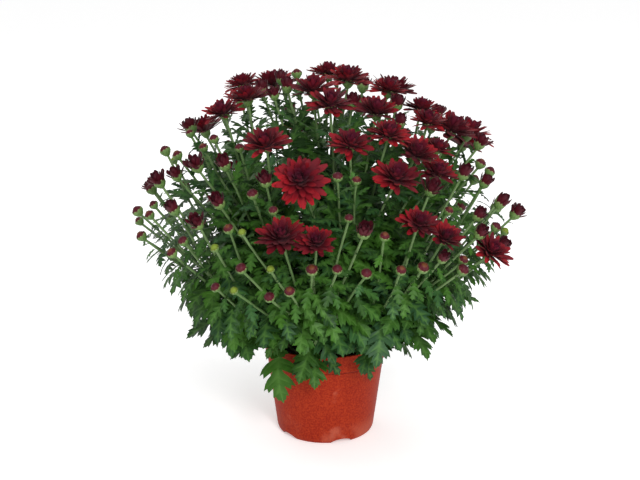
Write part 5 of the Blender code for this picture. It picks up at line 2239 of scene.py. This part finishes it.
@dataclass
class Spray:
    """One main stem with its stalks, leaves, green cups, half-open heads and buds."""

    plan: FinePlan
    index: int
    patterns: Patterns
    finishes: Finishes
    stem_swell: float = 1.05
    stem_end: float = 0.5
    stem_sharp_from: float = 70
    leaf_sharp_from: float = 65
    head_sharp_from: float = 60
    stalk_radius: float = 0.00125
    stalk_foot_radius: float = 0.00155
    stalk_collar: float = 1.12
    stalk_bend_steps: int = 7
    stalk_end_steps: int = 4
    sway: float = 0.0016
    sway_waves: float = 9
    sway_turn: float = 2.4
    snap: float = 0.006
    fine_from: float = 0.052
    plain_below: float = 0.032
    twig_wave: float = 0.006
    small_widths: tuple[float, float] = (0.6, 1.1)
    twig_widths: tuple[float, float] = (0.9, 1.15)
    cup_scales: int = 9
    cup_rows: tuple[tuple[float, float], ...] = ((0.72, -0.66), (0.99, -0.38))
    bud_cup: float = 0.93
    bud_scale: float = 0.78
    scale_length: float = 0.86
    scale_width: float = 0.78
    scale_blade: float = 0.0003
    half_open_petals: int = 28
    closed_share: float = 0.75
    closed_spread: tuple[float, float] = (0, 8)
    wide_spread: tuple[float, float] = (22, 40)
    bud_petals: int = 11
    young_below: float = 0.84
    ochre_share: float = 0.4
    ochre: float = 0.85

    @property
    def number(self) -> str:
        """The spray's number as its pieces and its node have it."""
        return f"{self.index + 1:02d}"

    def heads(self) -> list[Head]:
        """The heads that grow on this spray."""
        return [head for head in self.plan.heads if head.spray == self.index]

    def stalk_path(self, head: Head) -> np.ndarray:
        """Smooth middle line of a stalk over the solid's two straight lengths.

        Args:
            head: on the stalk's end.

        Returns:
            The points of the line.
        """
        a, b, c = (np.array(p) for p in head.stalk)
        low, high = (a + b) / 2, (b + c) / 2
        t = np.linspace(0, 1, self.stalk_bend_steps)[:, None]
        turn = low * (1 - t) ** 2 + b * 2 * t * (1 - t) + high * t**2
        foot, top = (np.linspace(*ends, self.stalk_end_steps) for ends in ((a, low), (high, c)))
        line = np.concatenate((foot[:-1], turn, top[1:]))
        along = np.linspace(0, 1, len(line))
        swing = self.sway * np.sin(along * math.pi) * np.sin(along * self.sway_waves + head.number)
        around = head.number * self.sway_turn
        return line + swing[:, None] * np.array((math.cos(around), math.sin(around), 0.0))

    def build_stems(self) -> Piece:
        """Makes the main stem and stalks.

        Returns:
            One object.
        """
        gathering = Gathering()
        tube = self.patterns.tube
        stem = self.plan.stems[self.index]
        path = np.linspace(np.array(stem[0]), np.array(stem[-1]), Patterns.TUBE_RINGS)
        radii = np.linspace(STEM_RADIUS * self.stem_swell, STEM_TOP_RADIUS, Patterns.TUBE_RINGS)
        radii[-1] *= self.stem_end
        gathering.add(tube, tube_points(tube, path, radii), tone=0.3)
        for head in self.heads():
            line = self.stalk_path(head)
            radii = np.linspace(self.stalk_foot_radius, self.stalk_radius, len(line))
            radii[-2:] = self.stalk_radius * self.stalk_collar
            gathering.add(tube, tube_points(tube, line, radii), tone=(head.number * 0.37) % 1.0)
        return gathering.build(f"stems_{self.number}", MARKS, self.finishes.stalk, self.stem_sharp_from)

    def root_shift(self, leaf: Leaf, lines: list[np.ndarray]) -> Vector:
        """Finds how far a leaf's root is from the nearest fine stalk or stem.

        Args:
            leaf: where it grows.
            lines: middle lines of the stalks and the stem.

        Returns:
            The step from the root to the line, or none where no line is near.
        """
        root = np.array(leaf.root)
        best = Vector()
        least = self.snap
        for line in lines:
            a, b = line[:-1], line[1:]
            step = b - a
            t = np.clip(((root - a) * step).sum(1) / (step**2).sum(1), 0, 1)
            near = a + step * t[:, None]
            gaps = np.linalg.norm(near - root, axis=1)
            k = int(gaps.argmin())
            if gaps[k] < least:
                least = gaps[k]
                best = Vector(near[k] - root)
        return best

    def twig_pattern(self, twig: Twig) -> Pattern:
        """Shape of a leaf without a solid: the smaller, the plainer.

        Args:
            twig: the leaf.

        Returns:
            The pattern.
        """
        if twig.small:
            return self.patterns.small_leaf
        if twig.leaf.length < self.plain_below:
            return self.patterns.plain_leaf
        return self.patterns.leaf if twig.leaf.length > self.fine_from else self.patterns.middle_leaf

    def build_leaves(self) -> Piece:
        """Makes all leaves of the spray.

        Returns:
            One object.
        """
        draw = random.Random(LEAF_SEED + self.index)
        stem = self.plan.stems[self.index]
        lines = [np.array([stem[0], stem[-1]])] + [self.stalk_path(head) for head in self.heads()]
        grown = []
        for leaf in self.plan.leaves:
            if leaf.spray != self.index:
                continue
            form = LeafForm(
                draw.uniform(0.05, 0.30), draw.uniform(0.2, 0.8), draw.uniform(0.004, 0.014),
                draw.uniform(0, 6.28), draw.uniform(-0.06, 0.06), draw.uniform(0.9, 1.08),
            )
            grown.append((self.patterns.leaf, leaf, form, draw.uniform(0.0, 1.0), draw.random()))
        for twig in self.plan.twigs:
            if twig.leaf.spray != self.index:
                continue
            widths = self.small_widths if twig.small else self.twig_widths
            form = LeafForm(
                draw.uniform(0.1, 0.4), draw.uniform(0.2, 0.6), self.twig_wave,
                draw.uniform(0, 6.28), draw.uniform(-0.08, 0.08), draw.uniform(*widths),
            )
            grown.append((self.twig_pattern(twig), twig.leaf, form, draw.uniform(0.0, 1.0), draw.random()))
        gathering = Gathering()
        for pattern, leaf, form, tone, depth in grown:
            points = leaf_points(pattern, leaf, form, self.root_shift(leaf, lines))
            gathering.add(pattern, points, tone=tone, depth=depth)
        return gathering.build(f"leaves_{self.number}", MARKS, self.finishes.leaf, self.leaf_sharp_from)

    def build_cups(self) -> Piece:
        """Makes the green cups with their scales, for every head of the spray.

        Returns:
            One object.
        """
        draw = random.Random(CUP_SEED + self.index)
        gathering = Gathering()
        for head in self.heads():
            bud = head.kind is Kind.BUD
            wide = head.radius * self.bud_cup if bud else CUP_RADIUS * head.scale
            deep = CUP_DEPTH * head.scale
            tone = draw.uniform(0.1, 0.8)
            cup = self.patterns.cup
            gathering.add_placed(cup, cup.points * (wide, wide, deep), head.matrix, tone=tone, rib=0.0)
            tall = self.bud_scale if bud else 1.0
            for row, (start, level) in enumerate(self.cup_rows):
                for i in range(self.cup_scales):
                    scale = Petal(
                        length=deep * self.scale_length * tall,
                        width=wide * self.scale_width,
                        rise=62 + 12 * row,
                        curl=-26 if bud else -14 - 10 * row,
                        cup=0.10,
                        turn=(i + 0.5 * row) * 360 / self.cup_scales + about(draw, 5),
                        root=(wide * start, deep * level),
                        thickness=self.scale_blade,
                    )
                    points = scale.points(self.patterns.scale, head.matrix)
                    tint = min(1.0, tone + draw.uniform(0, 0.25))
                    gathering.add(self.patterns.scale, points, tone=tint)
        return gathering.build(f"cups_{self.number}", MARKS, self.finishes.cup, self.head_sharp_from)

    def build_buds(self) -> Piece | None:
        """Makes the petals of the half-open heads and buds of the spray.

        Returns:
            One object, or None where there are none.
        """
        draw = random.Random(BUD_SEED + self.index)
        gathering = Gathering()
        for head in self.heads():
            if head.kind is Kind.HALF_OPEN:
                self.add_half_open(head, gathering, draw)
            elif head.kind is Kind.BUD:
                self.add_bud(head, gathering, draw)
        if not gathering.copies:
            return None
        return gathering.build(f"buds_{self.number}", MARKS, self.finishes.bud, self.head_sharp_from)

    def add_half_open(self, head: Head, gathering: Gathering, draw: random.Random) -> None:
        """Adds a goblet of upright petals, a few of the outer ones already spreading.

        Args:
            head: whose petals they are.
            gathering: takes them.
            draw: the spray's own draws.
        """
        r, wide = head.radius, CUP_RADIUS * head.scale
        petal, heart = self.patterns.petal, self.patterns.heart
        closed = draw.random() < self.closed_share
        spread = draw.uniform(*(self.closed_spread if closed else self.wide_spread))
        for i in range(self.half_open_petals):
            inward = i / (self.half_open_petals - 1)
            lie = Petal(
                length=r * (1.42 - 0.22 * inward) * draw.uniform(0.92, 1.06),
                width=r * 0.66 * (1 - 0.35 * inward),
                rise=62 - spread * (1 - inward) ** 3 + 22 * inward + about(draw, 4),
                curl=-34 + 10 * inward + about(draw, 6),
                cup=0.20,
                turn=i * GOLDEN_TURN + about(draw, 6),
                root=(wide * (0.84 - 0.7 * inward), -0.0006 + 0.0016 * inward),
                twist=about(draw, 8),
            )
            gathering.add(petal, lie.points(petal, head.matrix), tone=draw.random(), depth=0.0)
        core = heart.points * (wide * 0.8, wide * 0.8, r * 0.6)
        gathering.add_placed(heart, core, head.matrix, along=0.9, tone=0.5, depth=0.0)

    def add_bud(self, head: Head, gathering: Gathering, draw: random.Random) -> None:
        """Adds a ball of petals closed over each other, some still yellow-green.

        Args:
            head: whose petals they are.
            gathering: takes them.
            draw: the spray's own draws.
        """
        r = head.radius
        petal, heart = self.patterns.scale, self.patterns.heart
        young = 1.0 if r < BUD_RADIUS * self.young_below else 0.0
        ochre = self.ochre if draw.random() < self.ochre_share else 0.0
        for i in range(self.bud_petals):
            lie = Petal(
                length=r * 1.50 * draw.uniform(0.95, 1.05),
                width=r * 0.78,
                rise=97,
                curl=-82 + draw.uniform(-6, 4),
                cup=-0.16,
                turn=i * 360 / self.bud_petals + (i % 2) * 6,
                root=(r * (0.90 - 0.04 * (i % 2)), -0.0012),
            )
            points = lie.points(petal, head.matrix)
            gathering.add(petal, points, tone=draw.random(), depth=young, rib=ochre)
        core = heart.points * (r * 0.82, r * 0.82, r * 0.86) + (0, 0, 0.0004)
        gathering.add_placed(heart, core, head.matrix, tone=0.5, depth=young, rib=ochre)

    def build(self) -> list[Piece]:
        """Makes the pieces of the spray.

        Returns:
            The objects.
        """
        node = f"spray_{self.number}"
        made = [self.build_stems(), self.build_leaves(), self.build_cups()]
        pieces = [settle(piece, "green", node) for piece in made]
        buds = self.build_buds()
        if buds is not None:
            pieces.append(settle(buds, "petal", node))
        return pieces


@dataclass
class Pot:
    """Tapered plastic pot, turned from its profile, with arched notches and drain holes."""

    sides: int = 120
    rim_round: float = 0.0006
    foot_round: float = 0.0006
    foot_steps: int = 6
    notch_sides: int = 28
    sharp_from: float = 32

    def profile(self) -> list[tuple[float, float]]:
        """Section of the wall, from the floor's underside round the rim to the floor's top.

        Returns:
            Radius and height of each corner.
        """
        inner_rim = RIM_RADIUS - WALL - INSIDE_STEP
        foot = (FOOT_RADIUS, 0.0)
        bend = (BODY_FOOT_RADIUS - self.foot_round, self.foot_round)
        body = (BODY_FOOT_RADIUS, BODY_FOOT_HEIGHT)
        round_foot = []
        for i in range(1, self.foot_steps):
            t = i / self.foot_steps
            round_foot.append(
                tuple(a * (1 - t) ** 2 + b * 2 * t * (1 - t) + c * t**2 for a, b, c in zip(foot, bend, body))
            )
        return [
            (0.0, FLOOR_BOTTOM),
            (FOOT_INNER_RADIUS - FOOT_SLOPE, FLOOR_BOTTOM),
            (FOOT_INNER_RADIUS, 0.0),
            foot,
            *round_foot,
            body,
            (RIM_RADIUS - RIM_BAND_STEP, RIM_BAND_BOTTOM - self.rim_round),
            (RIM_RADIUS - RIM_BAND_STEP * 0.5, RIM_BAND_BOTTOM - self.rim_round * 0.3),
            (RIM_RADIUS, RIM_BAND_BOTTOM + self.rim_round * 1.5),
            (RIM_RADIUS, RIM_HEIGHT - self.rim_round),
            (RIM_RADIUS - self.rim_round, RIM_HEIGHT),
            (inner_rim + self.rim_round, RIM_HEIGHT),
            (inner_rim, RIM_HEIGHT - self.rim_round),
            (inner_rim, RIM_BAND_BOTTOM + 2 * INSIDE_STEP),
            (inner_rim - RIM_BAND_STEP, RIM_BAND_BOTTOM - INSIDE_STEP),
            (BODY_FOOT_RADIUS - WALL - INSIDE_TAPER, BODY_FOOT_HEIGHT + INSIDE_STEP),
            (FOOT_BEVEL_RADIUS - WALL - INSIDE_STEP, FLOOR_BOTTOM + WALL),
            (0.0, FLOOR_BOTTOM + WALL),
        ]

    def build(self, finish: Material) -> Piece:
        """Makes the pot.

        Args:
            finish: the plastic.

        Returns:
            The object.
        """
        free_hands()
        mesh = bpy.data.meshes.new("plastic_pot")
        line = self.profile()
        edges = [(i, i + 1) for i in range(len(line) - 1)]
        mesh.from_pydata([(r, 0.0, z) for r, z in line], edges, [])
        piece = bpy.data.objects.new("plastic_pot", mesh)
        bpy.context.scene.collection.objects.link(piece)
        bpy.context.view_layer.objects.active = piece
        piece.select_set(True)
        bpy.ops.object.mode_set(mode="EDIT")
        bpy.ops.mesh.select_all(action="SELECT")
        bpy.ops.mesh.spin(steps=self.sides, angle=math.tau, center=(0, 0, 0), axis=(0, 0, 1))
        bpy.ops.mesh.select_all(action="SELECT")
        bpy.ops.mesh.remove_doubles(threshold=1e-6)
        face_outwards()
        cutters = []
        for i in range(NOTCH_COUNT):
            turn = Matrix.Rotation(math.radians(NOTCH_FIRST + i * 360 / NOTCH_COUNT), 4, "Z")
            arch = turn @ Matrix.Translation((0, -FOOT_INNER_RADIUS, 0))
            arch = arch @ Matrix.Rotation(math.pi / 2, 4, "X")
            arch = arch @ Matrix.Diagonal((NOTCH_HALF_WIDTH, NOTCH_HEIGHT, 1, 1))
            depth = NOTCH_DEPTH + 2 * CUTTER_OVERRUN
            middle = Matrix.Translation((0, 0, depth / 2 - 2 * CUTTER_OVERRUN))
            cutters.append(self.cutter(arch @ middle, 1.0, depth))
            hole = turn @ Matrix.Translation((0, -DRAIN_HOLE_AT, FLOOR_BOTTOM + WALL / 2))
            cutters.append(self.cutter(hole, DRAIN_HOLE_RADIUS, WALL + 2 * CUTTER_OVERRUN))
        for cutter in cutters:
            cut = piece.modifiers.new("Cut", "BOOLEAN")
            cut.operation = "DIFFERENCE"
            cut.object = cutter
            cut.solver = "EXACT"
        bpy.context.view_layer.objects.active = piece
        for modifier in list(piece.modifiers):
            bpy.ops.object.modifier_apply(modifier=modifier.name)
        for cutter in cutters:
            bpy.data.objects.remove(cutter)
        piece.data.materials.append(finish)
        smooth(piece, self.sharp_from)
        return settle(piece, "pot_plastic", "pot")

    def cutter(self, place: Matrix, radius: float, depth: float) -> Piece:
        """Makes a round body for cutting.

        Args:
            place: its middle, with Z along it.
            radius: of the body.
            depth: its whole length.

        Returns:
            The object.
        """
        free_hands()
        bpy.ops.mesh.primitive_cylinder_add(vertices=self.notch_sides, radius=radius, depth=depth)
        body = bpy.context.object
        body.data.transform(place)
        return body


@dataclass
class Soil:
    """Crumbly peat that fills the pot, mounded a little round the stems."""

    rings: int = 26
    sides: int = 96
    crumbs: int = 900
    crumb_size: tuple[float, float] = (0.0006, 0.0022)
    crumb_shares: tuple[float, float] = (0.6, 1.0)
    crumb_depths: tuple[float, float] = (0.6, 1)
    crumb_heights: tuple[float, float] = (0.5, 0.9)
    crumb_margin: float = 0.0025
    crumb_upright: float = 0.3
    crumb_rise: float = 0.2
    coarse_waves: tuple[float, ...] = (420, 300, 380, 260)
    fine_waves: tuple[float, ...] = (990, 610, 870, 450)
    fine_share: float = 0.6
    bends: tuple[float, float] = (1.3, 1.7)
    lump: float = 0.0016
    lump_share: float = 0.45
    sharp_from: float = 50

    def build(self, patterns: Patterns, finish: Material) -> Piece:
        """Makes the soil's surface, its buried sides and its crumbs as one piece.

        Args:
            patterns: the modelled shapes.
            finish: the peat.

        Returns:
            The object.
        """
        free_hands()
        high = RIM_RADIUS - WALL - INSIDE_STEP - RIM_BAND_STEP - SEAT_GAP
        low = FOOT_BEVEL_RADIUS - WALL - INSIDE_STEP - 2 * SEAT_GAP
        bottom = FLOOR_BOTTOM + WALL + SEAT_GAP
        start = {"vertices": self.sides, "radius": low, "location": (0, 0, bottom)}
        bpy.ops.mesh.primitive_circle_add(fill_type="NGON", **start)
        body = bpy.context.object
        bpy.ops.object.mode_set(mode="EDIT")
        bpy.ops.mesh.select_all(action="SELECT")
        levels = (
            (BODY_FOOT_RADIUS - WALL - INSIDE_TAPER - SEAT_GAP, BODY_FOOT_HEIGHT + INSIDE_STEP),
            (high, RIM_BAND_BOTTOM - INSIDE_STEP),
            (high, SOIL_TOP - MM),
        )
        raise_rings(levels, low, bottom)
        for i in range(self.rings - 1):
            before = high * (1 - i / self.rings)
            after = high * (1 - (i + 1) / self.rings)
            bpy.ops.mesh.inset(thickness=before - after)
        bpy.ops.object.mode_set(mode="OBJECT")
        set_in_place(body)
        for vertex in body.data.vertices:
            out = vertex.co.xy.length
            if vertex.co.z > SOIL_TOP - 1.5 * MM and out < high - MM:
                vertex.co.z = self.height(vertex.co.x, vertex.co.y)
        bpy.ops.object.mode_set(mode="EDIT")
        face_outwards()
        unfold(body)
        ground = Pattern.read(body, {})
        gathering = Gathering()
        gathering.add(ground, ground.points)
        draw = random.Random(CRUMB_SEED)
        for _ in range(self.crumbs):
            out = (high - self.crumb_margin) * math.sqrt(draw.random())
            turn = draw.uniform(0, math.tau)
            x, y = out * math.cos(turn), out * math.sin(turn)
            size = draw.uniform(*self.crumb_size) * draw.uniform(*self.crumb_shares)
            angle = draw.uniform(0, math.tau)
            tilt = Matrix.Rotation(angle, 4, Vector((draw.random(), draw.random(), self.crumb_upright)))
            spot = Matrix.Translation((x, y, self.height(x, y) + size * self.crumb_rise))
            deep, high_share = draw.uniform(*self.crumb_depths), draw.uniform(*self.crumb_heights)
            place = spot @ tilt @ Matrix.Diagonal((size, size * deep, size * high_share, 1))
            gathering.add_placed(patterns.crumb, patterns.crumb.points, place)
        piece = gathering.build("peat_soil", (), finish, self.sharp_from)
        return settle(piece, "soil", "soil")

    def height(self, x: float, y: float) -> float:
        """Height of the soil's lumpy surface.

        Args:
            x: of the point.
            y: of the point.

        Returns:
            The height.
        """
        out = math.hypot(x, y) / RIM_RADIUS
        swell = SOIL_TOP + SOIL_MOUND * (1 - out * out)
        a, b, c, d = self.coarse_waves
        first, second = self.bends
        lumps = math.sin(x * a + first * math.sin(y * b)) * math.cos(y * c + second * math.sin(x * d))
        a, b, c, d = self.fine_waves
        lumps += self.fine_share * math.sin(x * a + y * b) * math.cos(y * c - x * d)
        return swell - MM + self.lump * self.lump_share * lumps


class Studio:
    """Pale floor, soft light and the camera at the photograph's viewing angle."""

    CAMERA_AT = Vector((-0.0064, -1.712, 0.756))
    PITCH = 17.1
    FOCAL_PIXELS = 1565.0
    WIDTH_PIXELS = 640.0
    SENSOR_WIDTH = 36.0
    FLOOR_SIZE = 14.0
    SKY = 0.66
    LIT_POINT = Vector((0, 0, 0.22))
    LAMPS = (
        ("key_light", Vector((0.40, -1.75, 1.10)), 0.5, 23.0),
        ("top_light", Vector((0.2, -0.2, 1.9)), 1.0, 5.0),
        ("back_light", Vector((-0.9, 1.5, 1.0)), 1.2, 7.0),
    )

    def build(self) -> None:
        """Makes all of it."""
        self.floor()
        for lamp in self.LAMPS:
            self.lamp(*lamp)
        self.sky()
        self.camera()

    def floor(self) -> None:
        """Large flat floor."""
        free_hands()
        bpy.ops.mesh.primitive_plane_add(size=self.FLOOR_SIZE)
        floor = bpy.context.object
        floor.name = "studio_floor"
        floor.data.materials.append(FloorFinish().make())

    def lamp(self, name: str, at: Vector, size: float, watts: float) -> None:
        """Square soft light that faces the plant.

        Args:
            name: of the light.
            at: where it stands.
            size: of its side.
            watts: its power.
        """
        light = bpy.data.lights.new(name, "AREA")
        light.size = size
        light.energy = watts
        lamp = bpy.data.objects.new(name, light)
        lamp.location = at
        lamp.rotation_euler = (self.LIT_POINT - at).to_track_quat("-Z", "Y").to_euler()
        bpy.context.scene.collection.objects.link(lamp)

    def sky(self) -> None:
        """Even white surroundings."""
        world = bpy.data.worlds.new("studio_white")
        bpy.context.scene.world = world
        world.use_nodes = True
        back = world.node_tree.nodes["Background"]
        back.inputs["Color"].default_value = (1.0, 1.0, 1.0, 1.0)
        back.inputs["Strength"].default_value = self.SKY
        bpy.context.scene.view_settings.view_transform = "Standard"

    def camera(self) -> None:
        """Camera as in the photograph."""
        data = bpy.data.cameras.new("camera")
        data.sensor_width = self.SENSOR_WIDTH
        data.lens = self.FOCAL_PIXELS / self.WIDTH_PIXELS * data.sensor_width
        data.dof.use_dof = False
        camera = bpy.data.objects.new("camera", data)
        camera.location = self.CAMERA_AT
        camera.rotation_euler = (math.radians(90 - self.PITCH), 0.0, 0.0)
        bpy.context.scene.collection.objects.link(camera)
        bpy.context.scene.camera = camera


def corners(box: tuple[Vector, Vector]) -> list[list[float]]:
    """A box as plain lists of numbers."""
    return [[float(c) for c in corner] for corner in box]


def main() -> None:
    """Builds every piece in order."""
    logging.basicConfig(level=logging.INFO, format="%(message)s")
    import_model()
    Studio().build()
    patterns, finishes = Patterns(), Finishes()
    plan = FinePlan()
    counts = (len(plan.heads), len(plan.leaves), len(plan.twigs))
    logging.info("planned %d heads, %d leaves, %d more leaves", *counts)
    pieces = [Pot().build(finishes.pot), Soil().build(patterns, finishes.soil)]
    for index in range(len(plan.stems)):
        pieces += Spray(plan, index, patterns, finishes).build()
    blooms = [head for head in plan.heads if head.kind is Kind.BLOOM]
    for number, head in enumerate(blooms):
        pieces.append(OpenBloom(head, number + 1).build(patterns, finishes.petal, blooms))
    total = 0
    for piece in pieces:
        count = sum(len(face.vertices) - 2 for face in piece.data.polygons)
        total += count
        logging.info("%s: %d triangles", piece.name, count)
    logging.info("all pieces: %d triangles", total)


if __name__ == "__main__":
    main()
